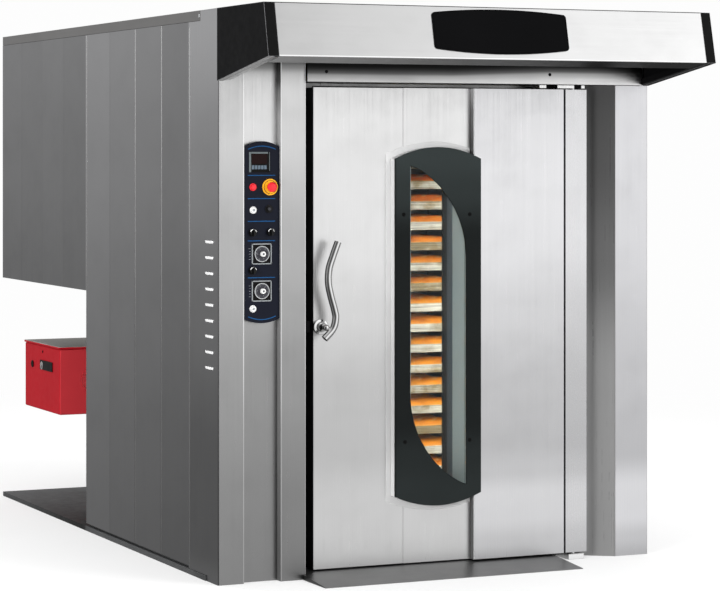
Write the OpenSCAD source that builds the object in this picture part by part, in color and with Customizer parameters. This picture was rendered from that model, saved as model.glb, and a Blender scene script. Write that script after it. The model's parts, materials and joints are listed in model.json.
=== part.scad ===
// Rotating rack oven for bakeries: insulated baking chamber with a turning rack,
// steam hood over the door, rear heat exchanger housing that overhangs the burner.
// Working coordinates: x across from the left side, y back from the front columns, z up.
// at() moves them to the part's frame: origin on the floor at the middle of the outer box.

/* [Body] */
// Overall width of the casing
body_w = 2020; // [2010:1:2030]
// Overall height from the floor
body_h = 2350; // [2345:1:2360]
// Depth from the front columns to the back of the exchanger housing
body_d = 3040; // [3020:10:3060]
// Height of the underside of the overhanging exchanger housing
over_z = 1117; // [1050:1:1150]
// Height of the roof deck inside the trims
roof_z = 2306; // [2300:1:2312]
// Gap between neighbouring casing panels
seam = 4; // [3:1:6]
// Thickness of the insulated casing panels
skin = 20; // [15:1:24]

/* [Hood] */
// How far the hood reaches forward at its top edge
hood_top = 501; // [480:1:520]
// How far the hood reaches forward at its bottom edge
hood_bot = 550; // [530:1:560]
// Height of the hood's front bottom edge
hood_front_z = 2136; // [2120:1:2150]
// Height of the hood's back bottom edge
hood_back_z = 2053; // [2050:1:2056]
// How far the hood's front lip reaches back underneath
lip_d = 130; // [60:1:200]

/* [Door] */
// Left edge of the door leaf
door_l = 435; // [430:1:440]
// Underside of the door
door_z0 = 31; // [30:1:36]
// Top of the door
door_z1 = 2033; // [2020:1:2034]
// Position across of the door pivot
piv_x = 1662; // [1660:1:1664]
// Position back of the door pivot
piv_y = 35; // [34:1:36]
// Radius of the door pivot pins
piv_r = 12; // [10:0.5:14]
// Height of the handle spindle
hand_z = 1038; // [1000:1:1100]

/* [Rack] */
// Number of trays
levels = 18; // [12:1:18]
// Height from one tray to the next
pitch = 89.7; // [88:0.1:90]
// Width of the rack
rack_w = 830; // [800:5:830]
// Depth of the rack
rack_d = 920; // [880:5:920]
// Height of a tray's rim
tray_h = 36; // [25:1:38]
// Height of the bread above the rim
bread_h = 34; // [20:1:36]

/* [Controls] */
// Radius of the small push buttons
btn_r = 11; // [9:0.5:13]
// Radius of the emergency stop's mushroom
stop_r = 21; // [18:0.5:24]
// Radius of the timer knobs
timer_r = 14; // [12:0.5:16]

/* [Hidden] */
$fn = 48;
e = 0.5;                        // clearance between separate sheets
front_y = (body_d - hood_bot) / 2;
md = body_d / 9;                // casing module, five on the body and four behind
cx = body_w / 2;                // middle of the chamber
cy = 880;
cap = 28;                       // thickness of the hood's end caps
tx0 = 866; tx1 = 1123;          // door window tunnel
tz0 = 352; tz1 = 1708;
tray_z = 200.4 - tray_h;        // underside of the lowest tray
fan_z = 1650;

module at() translate([-body_w / 2, -front_y, 0]) children();
module bx(x0, x1, y0, y1, z0, z1) translate([x0, y0, z0]) cube([x1 - x0, y1 - y0, z1 - z0]);
// a folded sheet panel: a box of sheet t, open on the side that o points to
module pan(x0, x1, y0, y1, z0, z1, o, t = 2) difference() {
    bx(x0, x1, y0, y1, z0, z1);
    bx(x0 + (o[0] < 0 ? -1 : t), x1 + (o[0] > 0 ? 1 : -t), y0 + (o[1] < 0 ? -1 : t), y1 + (o[1] > 0 ? 1 : -t),
        z0 + (o[2] < 0 ? -1 : t), z1 + (o[2] > 0 ? 1 : -t));
}
// a copy on the right-hand side as well
module both() { children(); translate([body_w, 0, 0]) mirror([1, 0, 0]) children(); }
// a prism whose outline is given in (y, z) and which runs from x0 to x1
module side_prism(x0, x1, pts) translate([x0, 0, 0]) rotate([90, 0, 90]) linear_extrude(x1 - x0) polygon(pts);
// a cylinder along x, y
module cyl_x(x0, x1, y, z, r) translate([x0, y, z]) rotate([0, 90, 0]) cylinder(h = x1 - x0, r = r);
module cyl_y(x, y0, y1, z, r) translate([x, y0, z]) rotate([-90, 0, 0]) cylinder(h = y1 - y0, r = r);
module tube_z(x, y, z0, z1, ro, ri) translate([x, y, z0]) difference() {
    cylinder(h = z1 - z0, r = ro);
    translate([0, 0, -1]) cylinder(h = z1 - z0 + 2, r = ri);
}
// an upright plate outline with bowed top and bottom: half width w, corners at za and zb, bow s
function bow(w, z, s, n = 16) = [for (i = [0:n]) let (t = -1 + 2 * i / n) [w * t, z + s * (1 - t * t)]];
function barrel(w, za, zb, s0, s1) = concat(bow(w, za, -s0), [for (i = [16:-1:0]) bow(w, zb, s1)[i]]);

// ---------------------------------------------------------------- casing
module base_plate() color("#4a4a4a") at() {
    // floor pan with ribs, open underneath between them
    difference() {
        bx(-5, body_w + 5, 130, 3015, 0, 22);
        for (i = [0:3], j = [0:5]) translate([15 + i * 500.5, 150 + j * 475.7, -1]) cube([488.5, 466.7, 20]);
    }
    both() bx(15, 65, 345, 5 * md - 8, 22 + e, 34 - e);
}
module side_set(m0, m1, z0) for (m = [m0:m1]) pan(0, skin, m * md + seam / 2, (m + 1) * md - seam / 2, z0, roof_z, [1, 0, 0]);
module left_side_panels() color("#8d8d8d") at() side_set(1, 4, 34);
module right_side_panels() color("#8d8d8d") at() translate([body_w, 0, 0]) mirror([1, 0, 0]) side_set(1, 4, 34);
module rear_casing_panels() color("#8d8d8d") at() {
    for (i = [0:3]) pan(22 + i * 494 + e, 22 + (i + 1) * 494 - e, 5 * md - skin, 5 * md - 2, 34, over_z - 2, [0, -1, 0]);
    // housing of the heat exchanger
    both() side_set(5, 8, over_z);
    for (i = [0:3]) pan(22 + i * 494 + e, 22 + (i + 1) * 494 - e, body_d - 23, body_d - 3, over_z, roof_z - 20, [0, -1, 0]);
    difference() {
        pan(22, body_w - 22, 5 * md + 2, body_d - 24, over_z, over_z + 18, [0, 0, 1]);
        translate([400, 1945, over_z - 1]) cylinder(h = 20, r = 211);
    }
    // housing of the combustion drum under it
    pan(170, 190, 5 * md + e, 2170 - e, 22 + e, over_z - 2, [1, 0, 0]);
    pan(1830, 1850, 5 * md + e, 2170 - e, 22 + e, over_z - 2, [-1, 0, 0]);
    difference() {
        pan(170, 1850, 2170, 2190, 22 + e, over_z - 2, [0, -1, 0]);
        cyl_y(275, 2160, 2200, 632, 66);
    }
}
module roof_pan(x0, x1, y0, y1) pan(x0, x1, y0, y1, roof_z - 18, roof_z, [0, 0, -1]);
// a roof panel in four pieces round a square cut-out of half width h at (hx, hy)
module roof_around(y0, y1, hx, hy, h) {
    roof_pan(22, hx - h, y0, y1);
    roof_pan(hx + h, body_w - 22, y0, y1);
    roof_pan(hx - h + e, hx + h - e, y0, hy - h);
    roof_pan(hx - h + e, hx + h - e, hy + h, y1);
}
module roof_panels() color("#9a9a9a") at() for (m = [0:8]) let (y0 = m * md + (m == 0 ? 6 : seam / 2), y1 = (m + 1) * md - (m == 8 ? 4 : seam / 2))
    if (m == 0) roof_around(y0, y1, cx, 0.55 * md, 76);
    else if (m == 2) roof_around(y0, y1, 500, 2.5 * md, 17.5);
    else if (m == 7) roof_around(y0, y1, cx, 7.5 * md, 101);
    else roof_pan(22, body_w - 22, y0, y1);
module top_trims() color("#a0a0a0") at() {
    both() {
        bx(0, 3, 202, body_d - 4, roof_z + 1, body_h);
        bx(3, 40, 202, body_d - 4, roof_z + 1, roof_z + 4);
    }
    union() {
        bx(skin + e, body_w - skin - e, body_d - 3, body_d, roof_z - 19, body_h);
        bx(3 + e, body_w - 3 - e, body_d - 3, body_d, roof_z + 1, body_h);
    }
}
module insulation() color("#b9a46a") at() {
    both() bx(22, 98, 345, 1664, 40, 2280);
    difference() {
        bx(104, 1916, 1592, 1664, 40, 2084);
        cyl_y(cx, 1580, 1680, fan_z, 190);
        both() bx(130, 300, 1580, 1680, 1300, 2000);
    }
    difference() {
        bx(104, 1916, 245, 1588, 2026, 2084);
        translate([cx, cy, 2000]) cylinder(h = 120, r = 70);
    }
    both() bx(22, 80, 5 * md + 4, body_d - 26, over_z + 22, roof_z - 24);
    bx(84, body_w - 84, body_d - 80, body_d - 26, over_z + 22, roof_z - 24);
}
module chamber_liner() color("#c9c9c9") at() {
    both() bx(100, 103, 245, 1588, 34, 2020);
    // air panels with gaps between them, which blow across the rack
    both() for (i = [0:5]) bx(320, 323, 245 + i * 217, 450 + i * 217, 34, 2017);
    // rear wall, slotted where the fan draws the air back
    bx(324, 1696, 1540, 1543, 34, 1440);
    for (i = [0:7]) bx(324, 1696, 1540, 1543, 1452 + i * 50, 1490 + i * 50);
    bx(324, 1696, 1540, 1543, 1852, 2017);
    difference() {
        bx(104, 1916, 245, 1588, 2018, 2021);
        translate([cx, cy, 2000]) cylinder(h = 40, r = 70);
    }
    bx(104, 1916, 130, 1538, 22 + e, 26);
}
module door_frame() color("#b9b9b9") at() {
    pan(388, 510, 125, 240, 26 + e, 2052, [0, 0, 1], 3);
    pan(1525, 1701, 125, 240, 26 + e, 2052, [0, 0, 1], 3);
    pan(510 + e, 1525 - e, 125, 240, 1990, 2052, [0, 0, 1], 3);
}
module door_gasket() color("#262626") at() {
    bx(480, 498, 114, 124.5, 40, 2010);
    bx(1537, 1555, 114, 124.5, 40, 2010);
    bx(498 + e, 1537 - e, 114, 124.5, 1992, 2010);
}
module threshold_ramp() color("#9b9b9b") at() {
    side_prism(386, 1560, [[-242, 0], [-242, 3], [40, 26], [129, 26], [129, 0]]);
    side_prism(372, 387, [[-242, 0], [-242, 3], [-12, 21.7], [-12, 0]]);
}
module left_column_casing() color("#a8a8a8") at() {
    difference() {
        union() {
            bx(0, 114, 0, 3, 0, 2345);
            bx(0, 3, 0, 200, 0, body_h);
            bx(0, 3, 200, md - 2, 0, roof_z);
            bx(111, 114, 0, 34, 0, 2286);
            // pressed louvres that air the electrical compartment
            for (i = [0:8]) translate([0, 50, 878 + i * 64.6]) rotate([-90, 0, 0]) linear_extrude(97) polygon([[0.5, -8], [-4, 6], [0.5, 7]]);
        }
        bx(-10, 20, 129.5, 400, -1, 22.5);
    }
    // recessed cover that carries the control plate, and the pillar beside the door
    bx(114 + e, 272, 30, 33, 0, 2286);
    bx(273, 276, -8, 33, 0, 2286);
    bx(273, 384, -8, -5, 0, 2286);
    bx(381, 384, -8, 124, 0, 2286);
}
module right_column_casing() color("#c4c4c4") at() difference() {
    union() {
        linear_extrude(2052) polygon([[2020, md - 2], [2020, 0], [1857, 0], [1703, 104], [1703, 124],
            [1706, 124], [1706, 105.6], [1858, 3], [2017, 3], [2017, md - 2]]);
        bx(1982, 2020, 0, 3, 2050, 2345);
        bx(2017, 2020, 0, 200, 2050, body_h);
        bx(2017, 2020, 200, md - 2, 2050, roof_z);
    }
    bx(1990, 2030, 129.5, 400, -1, 22.5);
}
module lintel() color("#c0c0c0") at() {
    bx(387, 1979, -20, -17, 2054, 2300);
    bx(387, 1979, -20, 122, 2054, 2057);
}

// ---------------------------------------------------------------- hood
hood_tilt = atan((hood_bot - hood_top) / (body_h - hood_front_z));
under = (hood_front_z - hood_back_z) / hood_bot;   // fall of the underside towards the wall
module hood_top_panel() color("#c8c8c8") at() {
    bx(41 + e, body_w - 41 - e, -hood_top + 1, -e, body_h - 3, body_h);
    both() bx(cap - 5 + e, 42, -hood_top + 4 + e, -e, body_h - 3, body_h);
    bx(cap - 5 + e, body_w + 5 - cap - e, -4, -e, 2304, body_h);
    // stainless lips along the ends of the open underside
    both() side_prism(cap - 5 + e, cap + 18, [[-hood_bot + 26, hood_front_z - 26 * under + 0.6], [-hood_bot + 26, hood_front_z - 26 * under + 3.6],
        [-21, hood_back_z + 21 * under + 3.6], [-21, hood_back_z + 21 * under + 0.6]]);
    side_prism(47, body_w - 47, [[-hood_bot + 25 + e, hood_front_z - (25 + e) * under], [-hood_bot + 25 + e, hood_front_z - (25 + e) * under + 3],
        [-hood_bot + lip_d, hood_front_z - lip_d * under + 3], [-hood_bot + lip_d, hood_front_z - lip_d * under]]);
    both() side_prism(cap + 15, cap + 18, [[-hood_bot + 42, hood_front_z - 42 * under + 0.6], [-hood_bot + 42, hood_front_z - 42 * under + 26],
        [-21, hood_back_z + 21 * under + 26], [-21, hood_back_z + 21 * under + 0.6]]);
}
module hood_front_panel() color("#e2e2e2") at() side_prism(41 + e, body_w - 41 - e,
    [[-hood_top, body_h - 3.5], [-hood_bot, hood_front_z], [-hood_bot + 25, hood_front_z - 25 * under],
     [-hood_bot + 25, hood_front_z - 25 * under + 3], [-hood_bot + 4, hood_front_z + 3], [-hood_top + 4, body_h - 3.5]]);
module hood_end_caps() color("#1e1e1e") at() both() {
    side_prism(-5, cap - 5, [[-e, hood_back_z], [-e, body_h], [-hood_top, body_h], [-hood_bot, hood_front_z]]);
    side_prism(cap - 6, 41, [[-hood_top, body_h], [-hood_bot, hood_front_z], [-hood_bot + 4, hood_front_z + 2], [-hood_top + 4, body_h]]);
}
module hood_badge_plate() color("#141414") at()
    translate([cx + 12, -hood_bot, hood_front_z]) rotate([-hood_tilt, 0, 0])
    translate([0, -e, 0]) rotate([90, 0, 0]) linear_extrude(4) polygon(barrel(306, 42, 192, 20, 17));

// ---------------------------------------------------------------- door furniture on the body
module hinge_blocks() color("#d6d6d6") at() {
    bx(1624, 1700, -2, 75, 0, 24);
    bx(1624, 1690, 75, 129, 0, 21.5);
    translate([piv_x, piv_y, 20]) cylinder(h = 46, r = piv_r);
    bx(1573, 1708, 5, 70, 2038, 2052);
    bx(1485, 1519, 5, 70, 2038, 2052);
    bx(1518, 1574, 48, 70, 2038, 2052);
    bx(1573, 1696, 69, 124.5, 2038, 2052);
    translate([piv_x, piv_y, 1995]) cylinder(h = 48, r = piv_r);
}
module latch_keeper() color("#cfcfcf") at() {
    bx(384 + e, 391, 56 + e, 104, hand_z - 24, hand_z + 24);
    bx(384 + e, 428, 44, 56, hand_z - 24, hand_z + 24);
}

// ---------------------------------------------------------------- drives and heating
module drive_motors() color("#3f5f7a") at() {
    // gearbox and motor that turn the rack
    difference() {
        bx(cx - 100, cx + 100, cy - 80, cy + 80, 2110, 2230);
        translate([cx, cy, 2100]) cylinder(h = 70, r = 20.06);
    }
    cyl_x(cx + 101, cx + 330, cy, 2170, 62);
    tube_z(cx, cy, 2024, 2064, 62, 20.06);
    for (s = [0, 1]) bx(cx - 98 + s * 156, cx - 58 + s * 156, cy - 78, cy + 78, 2085, 2109.5);
    // motor of the circulation fan, on its bracket
    difference() {
        cyl_y(cx, 1962, 2240, fan_z, 105);
        cyl_y(cx, 1950, 2040, fan_z, 14.06);
    }
    for (s = [-1, 1]) bx(cx + s * 80 - 5, cx + s * 80 + 5, 1990, 2210, over_z + 20, fan_z - 68.5);
}
module heat_exchanger() color("#8a7f78") at() {
    // upright combustion drum that the burner fires into
    difference() {
        translate([400, 1945, 90]) cylinder(h = 1190, r = 205);
        translate([400, 1945, 96]) cylinder(h = 1180, r = 199);
        translate([400, 1945, 1200]) cylinder(h = 100, r = 150);
        cyl_y(275, 1990, 2200, 632, 68);
    }
    // duct from the drum to the lower header
    difference() {
        bx(230, 570, 1780, 2336, 1280 + e, 1340);
        bx(234, 566, 1784, 2332, 1284, 1336);
        translate([400, 1945, 1270]) cylinder(h = 40, r = 150);
        bx(300, 500, 2270, 2328, 1270, 1300);
    }
    // headers with the tubes between them
    difference() {
        bx(300, 1640, 2260, 2900, 1160, 1280);
        bx(304, 1636, 2264, 2896, 1164, 1276);
        for (i = [0:6], j = [0:2]) translate([420 + i * 180, 2380 + j * 200, 1270]) cylinder(h = 20, r = 34);
        bx(304, 500, 2270, 2328, 1270, 1300);
    }
    for (i = [0:6], j = [0:2]) tube_z(420 + i * 180, 2380 + j * 200, 1280 + e, 2080 - e, 38, 34);
    difference() {
        bx(300, 1640, 2260, 2900, 2080, 2180);
        bx(304, 1636, 2264, 2896, 2084, 2176);
        for (i = [0:6], j = [0:2]) translate([420 + i * 180, 2380 + j * 200, 2070]) cylinder(h = 20, r = 34);
        translate([cx, 7.5 * md, 2170]) cylinder(h = 20, r = 92);
    }
    tube_z(cx, 7.5 * md, 2180 + e, 2226, 96, 92);
}
module circulation_fan() color("#a9a9a9") at() {
    difference() {
        union() {
            cyl_y(cx, 1856, 1860, fan_z, 250);
            cyl_y(cx, 1820, 1872, fan_z, 44);
            for (a = [0:30:330]) translate([cx, 0, fan_z]) rotate([0, a, 0]) bx(120, 248, 1740, 1857, -1.5, 1.5);
        }
        cyl_y(cx, 1810, 1880, fan_z, 13.5);
    }
    difference() { cyl_y(cx, 1736, 1741, fan_z, 250); cyl_y(cx, 1730, 1745, fan_z, 190); }
    cyl_y(cx, 1816, 2034, fan_z, 14);
}
module spigot(y, z0, r, flange) {
    union() {
        tube_z(cx, y, z0, roof_z + 5, r - 1, r - 3);
        tube_z(cx, y, roof_z + 4, body_h - 4, r, r - 3);
    }
    tube_z(cx, y, roof_z + e, roof_z + 3.5, flange, r - 1 + e);
}
module roof_collars() color("#bdbdbd") at() {
    // each spigot: a duct with a slightly wider end for the pipe, and a flange on the roof
    spigot(7.5 * md, 2228, 100, 152);
    spigot(0.55 * md, 2270, 75, 118);
    tube_z(500, 2.5 * md, 2280, 2342, 16, 9);
    tube_z(500, 2.5 * md, roof_z + e, roof_z + 10, 27, 16 + e);
}
module burner_cover() color("#a8242e") at() difference() {
    bx(100, 450, 2399, 2972, 465, 788);
    bx(103, 447, 2402, 2969, 468, 785);
    cyl_y(275, 2390, 2410, 632, 80);
    cyl_x(90, 110, 2679, 689, 12.06);
}
module burner_head() color("#9ba39c") at() {
    bx(96, 454, 2396, 2976, 789, 800);
    difference() {
        union() {
            cyl_y(275, 2050, 2420, 632, 62);
            cyl_y(275, 2191, 2203, 632, 95);
        }
        cyl_y(275, 2040, 2300, 632, 50);
    }
    bx(190, 360, 2415, 2750, 540, 720);
    // grommet and socket on the side of the cover
    cyl_x(94, 99.8, 2842, 686, 18);
    difference() {
        bx(96, 99.5, 2510, 2712, 668, 716);
        cyl_x(90, 110, 2679, 689, 12.06);
    }
}

// ---------------------------------------------------------------- controls on the left column
px = 194.5;
module control_plate() color("#15182a") at() translate([px, 8, 0]) rotate([90, 0, 0])
    linear_extrude(4) polygon(barrel(78.5, 1080, 1785, 18, 23));
module bezel(x, z, ro, ri) difference() { cyl_y(x, -1, 3.8, z, ro); cyl_y(x, -3, 5, z, ri); }
module control_fixtures() color("#8a8d90") at() {
    bx(137, 229, 1, 3.8, 1681, 1764);
    for (z = [1346, 1194]) difference() { bx(149, 237, 1.5, 3.8, z - 43, z + 43); cyl_y(193, 0, 5, z, 4.05); }
    bezel(230, 1620, 34, 14.1);
    for (p = [[154, 1620], [155, 1526], [224, 1530], [154, 1122]]) bezel(p[0], p[1], 16.5, btn_r + 0.1);
    for (p = [[151, 1434], [230, 1435], [151, 1279]]) bezel(p[0], p[1], 16.5, 8.1);
    // carrier behind the plate, so that it seats on the cover
    bx(118, 270, 8 + e, 29.5, 1085, 1780);
}
module casing_screws() color("#b8b8b8") at() {
    for (x = [473, 1522]) cyl_y(x, -22.5, -20, 2096, 7);
    cyl_x(97.5, 99.9, 2674, 758, 7);
    both() translate([0, 216, 2328]) rotate([0, 90, 0]) translate([0, 0, -1.5]) cylinder(h = 1.4, r = 8);
}
module push(x, z, r, c) color(c) at() cyl_y(x, -7, 0.8, z, r);
module stop_button() color("#c02020") at() {
    cyl_y(230, -32, -14, 1620, stop_r);
    cyl_y(230, -14.5, -0.4, 1620, 14);
}
module start_button() push(154, 1620, btn_r, "#c62828");
module light_button() push(155, 1526, btn_r, "#eeeeee");
module steam_button() push(224, 1530, btn_r, "#202020");
module lamp_button() push(154, 1122, btn_r, "#eeeeee");
module selector(x, z) color("#1c1c1c") at() {
    cyl_y(x, -8, 3.6, z, 8);
    cyl_y(x, -12, -7, z, 15);
    bx(x - 3.5, x + 3.5, -24, -11, z - 14, z + 14);
}
module selector_left() selector(151, 1434);
module selector_right() selector(230, 1435);
module selector_lower() selector(151, 1279);
module timer_knob(x, z) color("#c9c9c9") at() {
    cyl_y(x, -3, 1, z, 33);
    cyl_y(x, -20, -2, z, timer_r);
    cyl_y(x, 0, 3.5, z, 4);
}
module timer_knob_upper() timer_knob(193, 1346);
module timer_knob_lower() timer_knob(193, 1194);
module burner_button() color("#d4d4d4") at() cyl_x(90, 103, 2679, 689, 12);

// ---------------------------------------------------------------- rack
rx0 = cx - rack_w / 2; rx1 = cx + rack_w / 2;
ry0 = cy - rack_d / 2; ry1 = cy + rack_d / 2;
module rotor_hook() color("#b0b0b0") at() {
    translate([cx, cy, 1891]) cylinder(h = 269, r = 20);
    bx(cx - 50, cx + 50, cy - 34, cy + 34, 1880, 1892);
    for (s = [-1, 1]) bx(cx - 50, cx + 50, cy + s * 29 - 5, cy + s * 29 + 5, 1804, 1881);
    for (s = [-1, 1]) bx(cx + s * 42 - 8, cx + s * 42 + 8, cy - 34, cy + 34, 1804, 1817);
}
module rack_frame() color("#bcbcbc") at() {
    for (x = [rx0, rx1 - 30], y = [ry0, ry1 - 30]) difference() {
        bx(x, x + 30, y, y + 30, 147, 1820);
        bx(x + 2, x + 28, y + 2, y + 28, 140, 1830);
    }
    // top and bottom frames
    for (z = [147, 1790]) {
        for (y = [ry0 + 2, ry1 - 28]) bx(rx0 + 30 + e, rx1 - 30 - e, y, y + 26, z, z + 13);
        for (x = [rx0 + 2, rx1 - 28]) bx(x, x + 26, ry0 + 30 + e, ry1 - 30 - e, z, z + 13);
    }
    // bar that hangs in the rotor hook
    bx(rx0 + 2, rx1 - 2, cy - 22, cy + 22, 1817 + e, 1847);
    for (x = [rx0 + 2, rx1 - 26]) bx(x, x + 24, cy - 22, cy + 22, 1803 + e, 1818);
    // runners
    for (k = [0:levels - 1]) for (s = [0, 1])
        translate([s == 0 ? rx0 + 5 : rx1 - 49, 0, tray_z + k * pitch - 3.5]) bx(0, 44, ry0 + 31, ry1 - 31, 0, 3);
    // castor forks
    for (x = [rx0 + 45, rx1 - 45], y = [ry0 + 60, ry1 - 60]) translate([x, y, 0]) {
        bx(-35, 35, -28, 28, 142, 146.5);
        for (s = [-1, 1]) bx(s * 19 - 2, s * 19 + 2, -14, 14, 80, 143);
        cyl_x(-20, 20, 0, 92, 6);
    }
}
module wheel(x, y) color("#2b2b2b") at() difference() {
    cyl_x(x - 15, x + 15, y, 92, 48);
    cyl_x(x - 20, x + 20, y, 92, 6.06);
}
module wheel_front_left() wheel(rx0 + 45, ry0 + 60);
module wheel_front_right() wheel(rx1 - 45, ry0 + 60);
module wheel_rear_left() wheel(rx0 + 45, ry1 - 60);
module wheel_rear_right() wheel(rx1 - 45, ry1 - 60);
tw0 = rx0 + 31; tw1 = rx1 - 31;
module baking_trays() color("#d2d2d2") at() for (k = [0:levels - 1]) translate([0, 0, tray_z + k * pitch]) difference() {
    bx(tw0, tw1, ry0 + 5, ry1 - 5, 0, tray_h);
    bx(tw0 + 2, tw1 - 2, ry0 + 7, ry1 - 7, 2, tray_h + 1);
}
lw = (tw1 - tw0 - 12) / 2;
function loaves(n, w, h0, h1) = concat([[0, 0]], [for (j = [0:n - 1], i = [0:8]) let (t = i / 8)
    [j * w + w * t, h0 + (h1 - h0) * sqrt(max(0, 1 - pow(2 * t - 1, 2))) * 0.999]], [[n * w, 0]]);
module bread_loaves() color("#c87a2c") at() for (k = [0:levels - 1])
    translate([tw0 + 6, ry1 - 14, tray_z + k * pitch + 2 + e]) rotate([90, 0, 0])
    linear_extrude(rack_d - 28) polygon(loaves(2, lw, 22, tray_h + bread_h - 3));

// ---------------------------------------------------------------- door
module door_skins() color("#dcdcdc") at() {
    difference() {
        bx(door_l, 845, 30, 33, door_z0, door_z1);
        cyl_y(466, 20, 40, hand_z, 9);
    }
    difference() {
        bx(848, 1163, 30, 33, door_z0, door_z1);
        bx(tx0 - 3, tx1 + 3, 20, 40, tz0 - 3, tz1 + 3);
    }
    bx(1165, 1603, -1, 2, door_z0, door_z1);
    bx(1165, 1168, -1, 33, door_z0, door_z1);
    bx(1600, 1603, -1, 33, door_z0, door_z1);
}
// black edge of the leaf, open where the plug and the insulation pass, with the bolt's guide
module door_edge_frame() color("#1b1b1b") at() difference() {
    union() {
        difference() {
            bx(door_l + 1, 1602, 33 + e, 113, door_z0 + 2, door_z1 - 2);
            bx(door_l + 4, 1599, 30, 110, door_z0 + 5, door_z1 - 5);
            bx(545, 1490, 100, 120, 72, 1958);
        }
        bx(door_l + 3, 500, 57, 86, hand_z - 16, hand_z + 16);
    }
    bx(door_l - 1, 510, 59.9, 80.1, hand_z - 10.1, hand_z + 10.1);
}
module door_insulation() color("#b9a46a") at() difference() {
    union() {
        bx(door_l + 5, 1598, 34, 109.5, door_z0 + 6, door_z1 - 6);
        bx(546, 1489, 109, 218.5, 73, 1957);
    }
    bx(tx0 - 3, tx1 + 3, 20, 230, tz0 - 3, tz1 + 3);
    bx(door_l, 530, 30, 90, hand_z - 24, hand_z + 24);
}
module door_plug() color("#bdbdbd") at() difference() {
    pan(535, 1500, 113 + e, 222, 62, 1968, [0, -1, 0], 3);
    bx(tx0 - 3, tx1 + 3, 200, 230, tz0 - 3, tz1 + 3);
}
// lining of the window tunnel: bright in the leaf, dark in the plug
module window_reveal() color("#aab3b1") at() for (y = [[-5, 119], [120, 223]]) {
    bx(tx0 - 2, tx0, y[0], y[1], tz0 - 2, tz1 + 2);
    bx(tx1, tx1 + 2, y[0], y[1], tz0 - 2, tz1 + 2);
    bx(tx0 + e, tx1 - e, y[0], y[1], tz1, tz1 + 2);
    bx(tx0 + e, tx1 - e, y[0], y[1], tz0 - 2, tz0);
}
// outline of the slanting glass opening: straight sides, top right and bottom left swept away
function sweep_tr(n = 12) = [for (i = [0:n]) let (a = 67 * (1 - i / n)) [693 + 430 * cos(a), min(1706, 1316 + 430 * sin(a))]];
function sweep_bl(n = 12) = [for (i = [0:n]) let (a = 67 * (1 - i / n)) [1291 - 430 * cos(a), max(355, 750 - 430 * sin(a))]];
module window_frame() color("#2e3234") at() difference() {
    translate([992, 29.5, 0]) rotate([90, 0, 0]) linear_extrude(42) polygon(barrel(202, 318, 1735, 46, 49));
    translate([992, 60, 0]) rotate([90, 0, 0]) linear_extrude(67) polygon(barrel(196, 324, 1729, 46, 49));
    bx(1163, 1300, -1.5, 40, 200, 1800);
    translate([0, 40, 0]) rotate([90, 0, 0]) linear_extrude(80) polygon(concat(sweep_tr(), sweep_bl()));
}
module window_screws() color("#c4c4c4") at()
    for (p = [[830, 1501], [1140, 1499], [836, 547], [1139, 542]]) cyl_y(p[0], -15, -12.5, p[1], 8);
module window_glass() color("#8fa6a8", 0.4) at() {
    bx(tx0 + 1, tx1 - 1, -4.5, -0.5, tz0 + 1, tz1 - 1);
    bx(tx0 + 1, tx1 - 1, 208, 213, tz0 + 1, tz1 - 1);
}
// hinge post, welded to the leaf's edge by three lugs and hollow between its end blocks
module hinge_post() color("#dcdcdc") at() difference() {
    union() {
        translate([0, 0, door_z0]) linear_extrude(door_z1 - door_z0) polygon([[1610, 0], [1714, 0], [1714, 70], [1700, 85], [1624, 85], [1610, 80]]);
        for (z = [180, 1000, 1820]) bx(1603 + e, 1611, 48, 78, z, z + 70);
    }
    bx(1616, 1708, 6, 90, 110, 1950);
    translate([piv_x, piv_y, 0]) cylinder(h = 75, r = piv_r + 0.06);
    translate([piv_x, piv_y, 1990]) cylinder(h = 75, r = piv_r + 0.06);
}
module handle_rose() color("#cfcfcf") at() difference() {
    union() { cyl_y(466, 18, 29.5, hand_z, 34); cyl_y(466, 4, 19, hand_z, 20); }
    cyl_y(466, 0, 40, hand_z, 8.06);
}
hp = [[515, 1392], [493, 1335], [475, 1281], [472, 1225], [483, 1170], [499, 1114], [505, 1077], [493, 1033], [455, 993]];
module bar_point(j, a) translate([hp[j][0], -42, hp[j][1]])
    if (j == 0 || j == 8) rotate([0, a, 0]) cylinder(h = 2, r = 14, center = true, $fn = 20); else sphere(r = 14, $fn = 20);
module door_handle() color("#d8d8d8") at() {
    for (i = [0:7]) let (a = atan2(hp[i + 1][0] - hp[i][0], hp[i + 1][1] - hp[i][1])) hull() { bar_point(i, a); bar_point(i + 1, a); }
    cyl_y(466, -50, 3, hand_z, 16);
    cyl_y(466, 2, 56, hand_z, 8);
}
module latch_bolt() color("#c4c4c4") at() bx(441, 516, 60, 80, hand_z - 10, hand_z + 10);

base_plate();
left_side_panels();
right_side_panels();
rear_casing_panels();
roof_panels();
top_trims();
insulation();
chamber_liner();
door_frame();
door_gasket();
threshold_ramp();
left_column_casing();
right_column_casing();
lintel();
hood_top_panel();
hood_front_panel();
hood_end_caps();
hood_badge_plate();
hinge_blocks();
latch_keeper();
drive_motors();
heat_exchanger();
roof_collars();
burner_cover();
burner_head();
control_plate();
control_fixtures();
casing_screws();
circulation_fan();
rotor_hook();
rack_frame();
baking_trays();
bread_loaves();
wheel_front_left();
wheel_front_right();
wheel_rear_left();
wheel_rear_right();
door_skins();
door_edge_frame();
door_insulation();
door_plug();
window_reveal();
window_frame();
window_glass();
window_screws();
hinge_post();
handle_rose();
door_handle();
latch_bolt();
stop_button();
start_button();
light_button();
steam_button();
lamp_button();
selector_left();
selector_right();
selector_lower();
timer_knob_upper();
timer_knob_lower();
burner_button();
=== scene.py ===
import json
import math
import random

import bmesh
import bpy
from mathutils import Matrix, Vector, noise

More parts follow.
